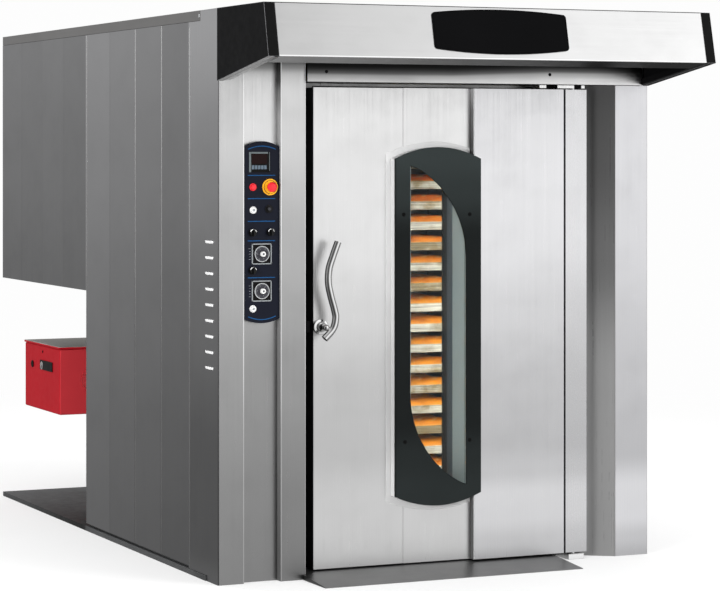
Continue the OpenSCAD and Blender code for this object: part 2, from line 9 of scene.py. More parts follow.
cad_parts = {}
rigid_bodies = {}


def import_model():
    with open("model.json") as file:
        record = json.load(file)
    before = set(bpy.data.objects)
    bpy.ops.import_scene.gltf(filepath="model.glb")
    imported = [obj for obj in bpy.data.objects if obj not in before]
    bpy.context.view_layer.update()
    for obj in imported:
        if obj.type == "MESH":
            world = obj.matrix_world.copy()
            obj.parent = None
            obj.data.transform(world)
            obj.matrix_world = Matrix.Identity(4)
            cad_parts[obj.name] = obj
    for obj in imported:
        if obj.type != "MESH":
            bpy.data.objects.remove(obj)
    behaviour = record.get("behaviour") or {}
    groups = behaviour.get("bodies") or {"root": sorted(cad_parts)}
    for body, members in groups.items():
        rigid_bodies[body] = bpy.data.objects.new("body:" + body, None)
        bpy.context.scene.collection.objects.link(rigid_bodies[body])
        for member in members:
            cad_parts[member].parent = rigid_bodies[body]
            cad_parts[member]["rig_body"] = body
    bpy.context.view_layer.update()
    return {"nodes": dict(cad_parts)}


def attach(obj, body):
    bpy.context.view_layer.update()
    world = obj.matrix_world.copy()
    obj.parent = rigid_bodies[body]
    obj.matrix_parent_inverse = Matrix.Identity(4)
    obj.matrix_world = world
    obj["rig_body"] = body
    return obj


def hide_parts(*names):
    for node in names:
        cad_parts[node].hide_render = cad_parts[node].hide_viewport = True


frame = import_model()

# Rotating rack oven. Shapes below are written in working millimetres: x across from the
# left side, y back from the front columns, z up. place() turns them into the shared frame.
MD = 3040 / 9          # one casing module
ROOF = 2306
OVER = 1117
CX, CY = 1010, 880


def place(v):
    return Vector(((v[0] - 1010) / 1000, (v[1] - 1245) / 1000, v[2] / 1000))


def col(h, k=1.0):
    v = [int(h[i:i + 2], 16) / 255 for i in (1, 3, 5)]
    return tuple(min(1.0, k * (c / 12.92 if c <= 0.04045 else ((c + 0.055) / 1.055) ** 2.4)) for c in v) + (1.0,)


# ---------------------------------------------------------------- camera
scene = bpy.context.scene
scene.view_settings.view_transform = "Standard"
TURN = math.radians(24.43)
cam_data = bpy.data.cameras.new("camera")
cam_data.sensor_width = 36.0
cam_data.lens = 2594.7 * 36.0 / 720.0
cam_data.shift_x = 0.0
cam_data.shift_y = -(295.5 - 149.0) / 720.0
cam_data.clip_end = 200.0
cam = bpy.data.objects.new("camera", cam_data)
scene.collection.objects.link(cam)
cam.location = (-4.8475, -11.089, 1.776)
cam.rotation_euler = (math.radians(90), 0, -TURN)
scene.camera = cam


# ---------------------------------------------------------------- material kit
class Mat:
    def __init__(self, name):
        self.m = bpy.data.materials.new(name)
        self.m.use_nodes = True
        self.nt = self.m.node_tree
        self.nt.nodes.clear()
        self.out = self.n("ShaderNodeOutputMaterial")
        self.b = self.n("ShaderNodeBsdfPrincipled")
        self.l(self.b.outputs[0], self.out.inputs[0])
        self._tc = None

    def n(self, kind, **kw):
        node = self.nt.nodes.new(kind)
        for k, v in kw.items():
            setattr(node, k, v)
        return node

    def l(self, a, b):
        self.nt.links.new(a, b)

    def set(self, **kw):
        for k, v in kw.items():
            self.b.inputs[k.replace("_", " ")].default_value = v
        return self

    def coords(self, scale=(1, 1, 1), rot=(0, 0, 0)):
        if self._tc is None:
            self._tc = self.n("ShaderNodeTexCoord").outputs["Object"]
        mp = self.n("ShaderNodeMapping")
        mp.inputs["Scale"].default_value = scale
        mp.inputs["Rotation"].default_value = rot
        self.l(self._tc, mp.inputs["Vector"])
        return mp.outputs[0]

    def axis(self, i):
        s = self.n("ShaderNodeSeparateXYZ")
        self.l(self.coords(), s.inputs[0])
        return s.outputs[i]

    def noise(self, vec, scale, detail=2.0, rough=0.5, distort=0.0):
        t = self.n("ShaderNodeTexNoise")
        t.inputs["Scale"].default_value = scale
        t.inputs["Detail"].default_value = detail
        t.inputs["Roughness"].default_value = rough
        t.inputs["Distortion"].default_value = distort
        self.l(vec, t.inputs["Vector"])
        return t.outputs[0]

    def span(self, v, a, b, c, d, smooth=False):
        m = self.n("ShaderNodeMapRange")
        if smooth:
            m.interpolation_type = "SMOOTHSTEP"
        for i, x in enumerate((a, b, c, d)):
            m.inputs[i + 1].default_value = x
        self.l(v, m.inputs[0])
        return m.outputs[0]

    def ramp(self, v, stops, mode="LINEAR"):
        r = self.n("ShaderNodeValToRGB")
        r.color_ramp.interpolation = mode
        els = r.color_ramp.elements
        while len(els) < len(stops):
            els.new(0.5)
        for e, (p, c) in zip(els, sorted(stops, key=lambda s: s[0])):
            e.position = p
            e.color = c if isinstance(c, tuple) else (c, c, c, 1.0)
        self.l(v, r.inputs[0])
        return r.outputs[0]

    def math(self, op, a, b=None):
        m = self.n("ShaderNodeMath", operation=op)
        for i, x in enumerate((a, b)):
            if x is None:
                continue
            if isinstance(x, (int, float)):
                m.inputs[i].default_value = x
            else:
                self.l(x, m.inputs[i])
        return m.outputs[0]

    def mix(self, fac, a, b, blend="MIX"):
        m = self.n("ShaderNodeMix", data_type="RGBA", blend_type=blend)
        for i, x in ((0, fac), (6, a), (7, b)):
            if isinstance(x, (int, float)) and i == 0:
                m.inputs[i].default_value = x
            elif isinstance(x, tuple):
                m.inputs[i].default_value = x
            elif isinstance(x, (int, float)):
                m.inputs[i].default_value = (x, x, x, 1.0)
            else:
                self.l(x, m.inputs[i])
        return m.outputs[2]

    def color(self, v):
        self.l(v, self.b.inputs["Base Color"])
        return self

    def rough(self, v):
        self.l(v, self.b.inputs["Roughness"])
        return self

    def bump(self, height, strength, dist, under=None):
        b = self.n("ShaderNodeBump")
        b.inputs["Strength"].default_value = strength
        b.inputs["Distance"].default_value = dist
        self.l(height, b.inputs["Height"])
        if under is not None:
            self.l(under, b.inputs["Normal"])
        self.l(b.outputs[0], self.b.inputs["Normal"])
        return b.outputs[0]


def steel(name, stops, tint="#ffffff", rough=(0.27, 0.37), grain=(230, 230, 1.6), streak=0.05,
          fine=0.045, wave=0.35, across=None, panels=None, depth=None, metal=1.0, lean=None):
    """Brushed stainless steel whose colour carries painted light and shade. stops: (height in m, painted brightness).
    across: (x0, x1, painted brightness at x0, at x1).
    panels: painted brightness of the casing modules from front to back; depth darkens deeper in and lean tilts the
    height scale along x, both painted shade."""
    k = Mat(name).set(Metallic=metal)
    if metal == 1.0:
        k.b.inputs["IOR"].default_value = 2.5
    up = k.axis(2)
    if lean:
        up = k.math("ADD", up, k.span(k.axis(0), lean[0], lean[1], 0.0, lean[2]))
    # painted light and shade: brightness by height
    tone = k.ramp(k.span(up, 0.0, 2.4, 0.0, 1.0), [(z / 2.4, t) for z, t in stops], "EASE")
    c = k.mix(1.0, tone, col(tint), "MULTIPLY")
    if across:
        x0, x1, a, b = across
        c = k.mix(1.0, c, k.ramp(k.span(k.axis(0), x0, x1, 0, 1), [(0.0, a), (1.0, b)]), "MULTIPLY")
    if depth:
        y0, y1, a, b = depth
        c = k.mix(1.0, c, k.ramp(k.span(k.axis(1), y0, y1, 0, 1), [(0.0, a), (0.45, a), (0.55, b), (1.0, b * 0.6)]), "MULTIPLY")
    if panels:
        y = k.span(k.axis(1), -1.245, 1.795, 0.0, 1.0)
        c = k.mix(1.0, c, k.ramp(y, [(i / 9, t) for i, t in enumerate(panels)], "CONSTANT"), "MULTIPLY")
    g = k.noise(k.coords(grain), 1.0, 3.0, 0.6)
    cloud = k.noise(k.coords((1, 1, 0.7)), 1.7, 2.0, 0.5)
    c = k.mix(1.0, c, k.span(g, 0.3, 0.7, 1 - streak, 1.0), "MULTIPLY")
    c = k.mix(1.0, c, k.span(cloud, 0.3, 0.7, 0.955, 1.0), "MULTIPLY")
    k.color(c)
    smear = k.noise(k.coords((1.0, 1.0, 1.4)), 5.0, 4.0, 0.62)
    r = k.math("ADD", k.span(g, 0.3, 0.7, rough[0], rough[1]), k.span(smear, 0.45, 0.72, 0.0, 0.05))
    k.rough(r)
    low = k.bump(cloud, 0.25, 0.004 * wave)
    k.bump(g, fine, 0.0006, low)
    return k.m


def coat(name, base, rough=(0.35, 0.48), peel=0.06, scale=900.0, speck=0.0, worn=0.0, spec=0.5, clear=0.0, dark=0.82, metal=0.0, heights=None, across=None, along=None):
    """Powder coat, enamel or moulded plastic. heights, across and along multiply in painted light and shade by height,
    by x and by y.
    """
    k = Mat(name).set(Metallic=metal)
    k.b.inputs["Specular IOR Level"].default_value = spec
    if clear:
        k.b.inputs["Coat Weight"].default_value = clear
        k.b.inputs["Coat Roughness"].default_value = 0.08
    big = k.noise(k.coords(), 3.5, 4.0, 0.6)
    c0 = col(base)
    c = k.mix(k.span(big, 0.3, 0.7, 0.0, 1.0), tuple(x * dark for x in c0[:3]) + (1,), c0)
    fine = k.noise(k.coords(), scale, 2.0, 0.6)
    if heights:
        c = k.mix(1.0, c, k.ramp(k.span(k.axis(2), 0.0, 2.4, 0.0, 1.0), [(z / 2.4, t) for z, t in heights], "EASE"), "MULTIPLY")
    if across:
        c = k.mix(1.0, c, k.ramp(k.span(k.axis(0), across[0], across[1], 0, 1), [(0.0, across[2]), (1.0, across[3])]), "MULTIPLY")
    if along:
        c = k.mix(1.0, c, k.ramp(k.span(k.axis(1), -2.0, 2.0, 0.0, 1.0), [((y + 2.0) / 4.0, t) for y, t in along]), "MULTIPLY")
    if speck:
        c = k.mix(1.0, c, k.span(fine, 0.3, 0.7, 1 - speck, 1.0), "MULTIPLY")
    k.color(c)
    k.rough(k.span(k.noise(k.coords(), 24.0, 5.0, 0.65), 0.3, 0.75, rough[0], rough[1]))
    k.bump(fine, peel, 0.0004)
    return k.m


# The height stops of the steels below, with their panel, across and lean ramps, are painted light and shade: they stand
# in for reflections of the room, the shadow under the hood and shade low down and in recesses.
DOOR_PAINTED_LIGHT = [(0.0, 0.57), (0.10, 0.65), (0.20, 0.74), (0.30, 0.75), (0.40, 0.62), (0.52, 0.56), (0.75, 0.59), (1.1, 0.71), (1.35, 0.81), (1.6, 0.82), (2.05, 0.78)]
LEFT_SKIN_PAINTED_LIGHT = [(0.0, 0.63), (0.10, 0.69), (0.30, 0.69), (0.52, 0.59), (0.75, 0.59), (1.1, 0.73), (1.35, 0.82), (1.6, 0.83), (2.05, 0.86)]
M = {}
M["side"] = steel("steel_side_panels", [(0.0, 0.40), (0.5, 0.46), (1.1, 0.56), (1.7, 0.70), (2.35, 0.84)], "#fdfdff",
                  rough=(0.30, 0.40), panels=[1.0, 0.70, 0.80, 0.86, 0.95, 0.66, 0.68, 0.655, 0.67])
M["flank"] = steel("steel_column_flank", [(0.0, 0.34), (0.12, 0.25), (0.5, 0.25), (1.1, 0.41), (1.7, 0.66), (2.3, 1.0)], "#fdfdff", rough=(0.30, 0.40))
M["column"] = steel("steel_column_front", [(0.0, 0.29), (0.3, 0.31), (0.8, 0.38), (1.4, 0.52), (1.9, 0.70), (2.3, 0.78)], "#fcfcfc")
M["cover"] = steel("steel_column_cover", [(0.0, 0.27), (0.3, 0.29), (0.8, 0.34), (1.4, 0.53), (1.9, 0.80), (2.085, 0.84), (2.115, 0.45), (2.15, 0.18)], "#fcfcfc")
M["pillar"] = steel("steel_pillar", [(0.0, 0.25), (0.3, 0.27), (0.8, 0.36), (1.4, 0.50), (1.9, 0.72), (2.085, 0.80), (2.115, 0.50), (2.15, 0.22)], "#fcfcfc")
M["pillar_side"] = steel("steel_pillar_side", [(0.0, 0.16), (0.8, 0.26), (1.4, 0.42), (1.9, 0.52), (2.0, 0.32), (2.06, 0.08), (2.15, 0.03)], "#fcfcfc", metal=0.35)
M["turned_edge_highlight"] = steel("steel_painted_highlights_at_turned_edges", [(0.0, 0.42), (0.5, 0.50), (1.0, 0.78), (1.6, 0.95), (2.3, 1.0)], "#ffffff", streak=0.02)
M["seam"] = steel("steel_seam_painted_highlights", [(0.0, 0.15), (0.8, 0.19), (1.5, 0.38), (2.0, 0.52), (2.35, 0.60)], "#ffffff", rough=(0.30, 0.40), streak=0.02, metal=0.6)
M["right"] = steel("steel_right_column", [(0.0, 0.52), (0.08, 0.64), (0.17, 0.78), (0.3, 0.78), (0.45, 0.56), (0.8, 0.61), (1.4, 0.73), (2.3, 0.76)], "#fcfcff")
M["splay"] = steel("steel_splayed_face", [(0.0, 0.41), (0.3, 0.42), (0.8, 0.40), (1.3, 0.20), (1.7, 0.135), (2.3, 0.125)], "#fcfcfc", rough=(0.26, 0.36), metal=0.5)
M["door"] = steel("steel_door_skins", DOOR_PAINTED_LIGHT, "#fdfdff", wave=0.5)
M["post"] = steel("steel_hinge_post", [(z, t * (0.89 if z > 1.5 else 0.92)) for z, t in DOOR_PAINTED_LIGHT], "#fdfdff", rough=(0.22, 0.30))
M["left_skin"] = steel("steel_door_skins_left", LEFT_SKIN_PAINTED_LIGHT, "#fdfdfd", wave=0.5)
M["hood"] = steel("steel_hood_front", [(2.10, 0.93), (2.35, 0.91)], "#ffffff", rough=(0.28, 0.36),
                  grain=(1.6, 230, 230), across=(-1.0, 0.9, 0.57, 0.96), fine=0.03, streak=0.03)
M["lintel"] = steel("steel_lintel", [(2.05, 1.0), (2.061, 0.96), (2.066, 0.84), (2.083, 0.66), (2.093, 0.20), (2.105, 0.11), (2.113, 0.03), (2.3, 0.02)], "#fbfbfb",
                    grain=(1.6, 230, 230), across=(-1.0, 0.5, 0.62, 0.97), lean=(0.05, 0.5, -0.018))
# hood lips: grey, darkened towards +x as painted shade under the hood
M["lip"] = coat("satin_lips_under_hood_painted_shade", "#7c7c7c", (0.40, 0.50), 0.04, 900.0, 0.04, spec=0.06, dark=0.9, across=(-1.0, 0.5, 1.0, 0.04))
M["hood_edge_highlight"] = steel("steel_hood_bottom_painted_highlight", [(2.0, 1.0), (2.4, 1.0)], "#ffffff", grain=(1.6, 230, 230), streak=0.02)
M["lip_end"] = steel("steel_hood_end_lip", [(2.0, 0.95), (2.08, 0.80), (2.13, 0.45), (2.4, 0.4)], "#f8f8f8", grain=(230, 1.6, 230))
# inside of the hood: painted shade, near black
M["under"] = steel("steel_hood_inside_painted_shade", [(2.0, 0.10), (2.4, 0.12)], "#f0f0f0", rough=(0.4, 0.5), grain=(1.6, 230, 230))
M["frame_in"] = steel("steel_door_frame", [(0.0, 0.03), (0.034, 0.04), (0.06, 0.26), (1.97, 0.30), (2.035, 0.56), (2.4, 0.56)], "#f2f2f2", rough=(0.34, 0.46))
M["trim"] = steel("steel_roof_and_trims", [(0.0, 0.52), (2.4, 0.54)], "#f8f6f5", rough=(0.30, 0.42), grain=(200, 1.8, 200))

M["ramp"] = steel("steel_threshold", [(0.0, 0.31), (0.03, 0.33)], "#f2f2f2", rough=(0.34, 0.46), grain=(1.8, 260, 260), streak=0.16, fine=0.08)
M["inner"] = steel("steel_inner_lining", [(0.0, 0.62), (2.4, 0.66)], "#f4efe6", rough=(0.34, 0.48), fine=0.03)
M["rack"] = steel("steel_rack", [(0.0, 0.70), (2.4, 0.72)], "#f5f1ea", rough=(0.26, 0.38), fine=0.03)
M["hinge"] = steel("steel_hinge_plates", [(0.0, 0.88), (2.4, 0.90)], "#ffffff", rough=(0.2, 0.3), streak=0.03)
M["reveal"] = coat("grey_green_window_lining", "#9ba5a5", (0.42, 0.54), 0.04, 900.0, 0.03, spec=0.2, dark=0.9)
M["galv"] = steel("galvanised_ducts", [(0.0, 0.62), (2.4, 0.66)], "#eef1f2", rough=(0.36, 0.5), grain=(60, 60, 60), streak=0.12, fine=0.02)
M["scale"] = steel("heat_tinted_steel", [(0.0, 0.30), (1.2, 0.34), (2.4, 0.42)], "#e0c8ae", rough=(0.42, 0.6), grain=(30, 30, 30), streak=0.25)

# polished chrome with only faint wipe marks
k = Mat("polished_chrome").set(Metallic=1.0)
k.color(k.span(k.noise(k.coords((1, 1, 1)), 9.0, 3.0), 0.3, 0.7, 0.68, 0.76))
k.rough(k.span(k.noise(k.coords((1, 1, 0.3)), 60.0, 4.0, 0.65), 0.35, 0.75, 0.02, 0.06))
k.bump(k.noise(k.coords(), 700.0, 2.0), 0.02, 0.0002)
M["chrome"] = k.m

# the right skin's return faces: painted shade by height, lighter near the top
M["return"] = steel("steel_skin_returns", [(0.0, 0.18), (1.0, 0.12), (1.75, 0.10), (1.92, 0.22), (2.02, 0.50)], "#fdfdff", metal=0.3)
M["cap"] = coat("black_powder_coat", "#121213", (0.46, 0.60), 0.10, 1400.0, 0.12, spec=0.05)
# the caps' rounded edges: a painted highlight line
M["cap_edge"] = coat("cap_edge_painted_highlight", "#68686a", (0.46, 0.60), 0.05, 1400.0, 0.05, spec=0.2)
M["edge"] = coat("black_door_edge", "#0c0c0c", (0.42, 0.56), 0.10, 1400.0, 0.1, spec=0.08)
M["badge"] = coat("gloss_black_enamel", "#070708", (0.10, 0.16), 0.010, 300.0, spec=0.03)
# dark frame paint with painted light and shade by height and a darker left edge painted in
M["frame"] = coat("dark_frame_satin_with_painted_light", "#272c2c", (0.40, 0.52), 0.08, 1600.0, 0.08, spec=0.08, dark=0.9,
                  heights=[(0.34, 0.78), (0.48, 0.62), (0.62, 0.34), (1.40, 0.34), (1.60, 1.0), (1.76, 1.45)], across=(-0.2225, -0.2105, 0.25, 1.0))

# rim folded back from the frame's front: dark for the thickness of the plate, pale behind it; the pale tone and its
# grading by height are painted light
k = Mat("frame_rim_painted_light").set(Roughness=0.46)
k.b.inputs["Specular IOR Level"].default_value = 0.3
c = k.mix(k.span(k.noise(k.coords(), 3.5, 4.0, 0.6), 0.3, 0.7, 0.0, 1.0), col("#f2f2f2"), col("#fbfbfb"))
c = k.mix(1.0, c, k.ramp(k.span(k.axis(2), 0.0, 2.4, 0.0, 1.0), [(z / 2.4, t) for z, t in
          ((0.33, 0.72), (0.39, 0.69), (0.556, 0.58), (0.72, 0.56), (0.89, 0.58), (1.06, 0.66), (1.225, 0.73), (1.39, 0.73), (1.7, 0.74))], "EASE"), "MULTIPLY")
k.color(k.mix(1.0, c, k.ramp(k.span(k.axis(1), -1.2575, -1.2155, 0.0, 1.0), [(0.0, 0.03), (0.17, 0.03), (0.20, 1.0), (1.0, 1.0)]), "MULTIPLY"))
k.bump(k.noise(k.coords(), 900.0, 2.0, 0.6), 0.03, 0.0004)
M["frame_rim"] = k.m
# dark base paint; the along ramp paints shade where the rear housing overhangs the plate, fading towards the back
M["base"] = coat("dark_base_coat_with_painted_shade", "#4b4c4d", (0.50, 0.66), 0.16, 500.0, 0.12, dark=0.72, along=[(-1.15, 0.78), (-1.08, 0.80), (-0.95, 1.12), (0.43, 1.14), (0.45, 0.10), (0.80, 0.24), (1.25, 0.72), (1.77, 1.15)])
M["navy"] = coat("navy_control_overlay", "#10131f", (0.34, 0.44), 0.04, 1800.0, 0.08, spec=0.14)
M["line"] = coat("blue_overlay_line", "#174c7c", (0.40, 0.50), 0.02, 900.0, spec=0.1)
M["red_paint"] = coat("red_textured_enamel", "#b41824", (0.42, 0.54), 0.14, 520.0, 0.08, spec=0.06, dark=0.9)
M["lid"] = coat("grey_green_enamel", "#9b9792", (0.42, 0.55), 0.14, 600.0, 0.06)
# lighter copy of the red enamel for the burner's front face: painted light
M["red_front"] = coat("red_enamel_front_painted_light", "#c9383f", (0.42, 0.54), 0.14, 520.0, 0.08, spec=0.10, dark=0.92)
M["frame_flange"] = coat("frame_flange_painted_light", "#d6d6d6", (0.40, 0.52), 0.03, 900.0, 0.02, spec=0.2, dark=0.97,
                         heights=[(0.25, 0.82), (0.39, 0.82), (0.556, 0.70), (0.72, 0.66), (0.89, 0.70), (1.06, 0.81), (1.225, 0.92), (1.39, 0.96), (1.8, 0.98)])
M["socket"] = coat("black_socket_plastic", "#0b0b0b", (0.34, 0.46), 0.10, 900.0, 0.1, spec=0.12)
M["motor"] = coat("motor_enamel", "#3f5f7a", (0.36, 0.5), 0.14, 400.0, 0.06)
M["cast"] = coat("cast_gearbox", "#5a5f63", (0.5, 0.66), 0.35, 260.0, 0.12)
M["rubber"] = coat("black_gasket", "#232323", (0.66, 0.82), 0.16, 700.0, 0.16, spec=0.3)
M["tyre"] = coat("phenolic_wheel", "#2a2725", (0.48, 0.6), 0.12, 500.0, 0.14)
M["white"] = coat("white_button", "#dededd", (0.26, 0.36), 0.03, 900.0, 0.02, dark=0.92)
M["grey_dot"] = coat("grey_button_centre", "#8a8e91", (0.34, 0.44), 0.03, 900.0, dark=0.86)
M["red"] = coat("red_button", "#d8202c", (0.26, 0.36), 0.03, 900.0, 0.02, dark=0.94)
M["stop_red"] = coat("red_mushroom", "#e02430", (0.30, 0.42), 0.05, 900.0, 0.03, dark=0.9)
M["yellow"] = coat("yellow_stop_plate", "#eda915", (0.42, 0.54), 0.04, 800.0, 0.05, dark=0.86)
M["black"] = coat("black_switch_plastic", "#0c0c0d", (0.26, 0.40), 0.05, 1100.0, 0.1, spec=0.25)
M["screen"] = coat("dark_display", "#160707", (0.10, 0.18), 0.006, 300.0, spec=0.1)
M["oxide"] = coat("blackened_steel_and_painted_shade", "#0d0d0e", (0.40, 0.54), 0.08, 700.0, 0.1, spec=0.08)
# louvre lips: pale as a painted highlight on the column's own steel
M["louvre"] = coat("louvre_painted_highlight", "#e3e3e3", (0.4, 0.5), 0.03, 900.0, 0.02, dark=0.95)
# the left cap's underside: grey painted light on the black coat
M["cap_lip"] = coat("cap_underside_painted_light", "#8e8e8e", (0.46, 0.60), 0.05, 1400.0, 0.05, spec=0.2)
M["lid_edge"] = coat("lid_bevel_painted_highlight", "#b9c0bb", (0.42, 0.55), 0.05, 600.0, 0.05)
M["fold"] = coat("sheet_bend_painted_highlight", "#e4e4e4", (0.34, 0.44), 0.03, 900.0, 0.03, dark=0.94, metal=0.45)
M["bezel"] = coat("grey_bezel", "#5f6769", (0.36, 0.46), 0.04, 900.0, 0.05, dark=0.9, spec=0.2)
M["silver"] = coat("silver_plastic", "#84888a", (0.32, 0.44), 0.04, 900.0, 0.05, dark=0.9)
M["key"] = coat("grey_blue_keys", "#5d6b77", (0.42, 0.54), 0.05, 900.0, 0.04, dark=0.8, spec=0.2)
M["dial"] = coat("dark_dial_face", "#37373c", (0.34, 0.46), 0.04, 900.0, 0.06, spec=0.2)
M["mark"] = coat("light_dial_marks", "#a2a4a5", (0.4, 0.5), 0.02, 900.0, dark=0.9, spec=0.2)
M["tick"] = coat("grey_dial_scale", "#9c9ea1", (0.4, 0.5), 0.02, 900.0, dark=0.9, spec=0.2)
M["arc"] = coat("white_index_arc", "#efefee", (0.3, 0.4), 0.02, 900.0, dark=0.96)
M["knob"] = coat("pale_knob", "#d6d6d5", (0.22, 0.34), 0.03, 900.0, dark=0.9)

# mineral wool: loose yellow-brown fibres
k = Mat("mineral_wool").set(Roughness=0.95)
f = k.noise(k.coords((40, 40, 260)), 2.0, 6.0, 0.7, 1.5)
k.color(k.ramp(f, [(0.25, col("#6e5b33")), (0.55, col("#a48b55")), (0.8, col("#c9b27a"))]))
k.bump(f, 0.5, 0.006)
M["wool"] = k.m

# baking trays: bright aluminium, scuffed and a little browned; the top level is darkened as painted shade
k = Mat("tray_aluminium").set(Metallic=0.55)
n1 = k.noise(k.coords((3, 3, 400)), 1.0, 3.0, 0.6)
n2 = k.noise(k.coords(), 9.0, 5.0, 0.6)
n3 = k.noise(k.coords((0.6, 0.6, 9.0)), 1.0, 1.0)
c = k.mix(k.span(k.math("ADD", k.math("MULTIPLY", n2, 0.5), k.math("MULTIPLY", n3, 0.5)), 0.46, 0.57, 0.0, 0.9), col("#f2eee4"), col("#a38f66"))
# painted shade: the top tray darkened
c = k.mix(1.0, c, k.ramp(k.span(k.axis(2), 0.0, 2.4, 0.0, 1.0), [(0.0, 1.0), (1.66 / 2.4, 1.0), (1.70 / 2.4, 0.10), (1.0, 0.10)]), "MULTIPLY")
k.color(k.mix(1.0, c, k.span(n1, 0.38, 0.62, 0.45, 1.0), "MULTIPLY"))
k.rough(k.span(n2, 0.3, 0.7, 0.34, 0.5))
k.bump(n1, 0.12, 0.0006)
M["tray"] = k.m

# bread: pale at the foot, golden to brown on top, browner at the higher levels
k = Mat("baked_crust")
k.b.inputs["Subsurface Weight"].default_value = 0.06
k.b.inputs["Subsurface Radius"].default_value = (0.006, 0.003, 0.0015)
rise = k.math("FRACT", k.math("DIVIDE", k.math("SUBTRACT", k.axis(2), 0.1644), 0.0897))
level = k.span(k.axis(2), 0.15, 1.80, 0.0, 1.0)
top = k.ramp(level, [(0.0, col("#e8891c")), (0.35, col("#ee951e")), (0.6, col("#e68f24")), (0.8, col("#e5801f")), (0.93, col("#dc5f22")), (1.0, col("#d85a24"))])
blot = k.noise(k.coords((1, 1, 1.5)), 16.0, 5.0, 0.62)
dark = k.mix(k.span(blot, 0.46, 0.74, 0.0, 0.6), top, col("#a04410"))
dark = k.mix(k.span(rise, 0.66, 0.76, 0.0, 0.55, True), dark, col("#7c3109"))
body = k.mix(k.span(rise, 0.30, 0.50, 0.0, 1.0, True), col("#eeb058"), dark)
at = k.n("ShaderNodeAttribute", attribute_name="crumb")
body = k.mix(at.outputs["Fac"], body, col("#efbf74"))
grainy = k.noise(k.coords(), 240.0, 4.0, 0.7)
k.color(k.mix(1.0, body, k.span(grainy, 0.3, 0.7, 0.86, 1.0), "MULTIPLY"))
k.rough(k.span(blot, 0.3, 0.7, 0.52, 0.72))
k.bump(grainy, 0.25, 0.0012, k.bump(blot, 0.3, 0.003))
M["bread"] = k.m

# thin window glass: mostly clear, with a mirror that grows towards grazing angles
k = Mat("window_glass")
k.nt.nodes.remove(k.b)
fr = k.n("ShaderNodeFresnel"); fr.inputs["IOR"].default_value = 1.45
clear = k.n("ShaderNodeBsdfTransparent")
clear.inputs["Color"].default_value = (0.965, 0.98, 0.975, 1)
gl = k.n("ShaderNodeBsdfAnisotropic")
gl.inputs["Color"].default_value = (0.20, 0.22, 0.24, 1)
k.l(k.span(k.noise(k.coords((1, 1, 0.5)), 7.0, 4.0), 0.3, 0.7, 0.02, 0.07), gl.inputs["Roughness"])
mx = k.n("ShaderNodeMixShader")
k.l(fr.outputs[0], mx.inputs[0]); k.l(clear.outputs[0], mx.inputs[1]); k.l(gl.outputs[0], mx.inputs[2])
k.l(mx.outputs[0], k.out.inputs[0])
M["glass"] = k.m


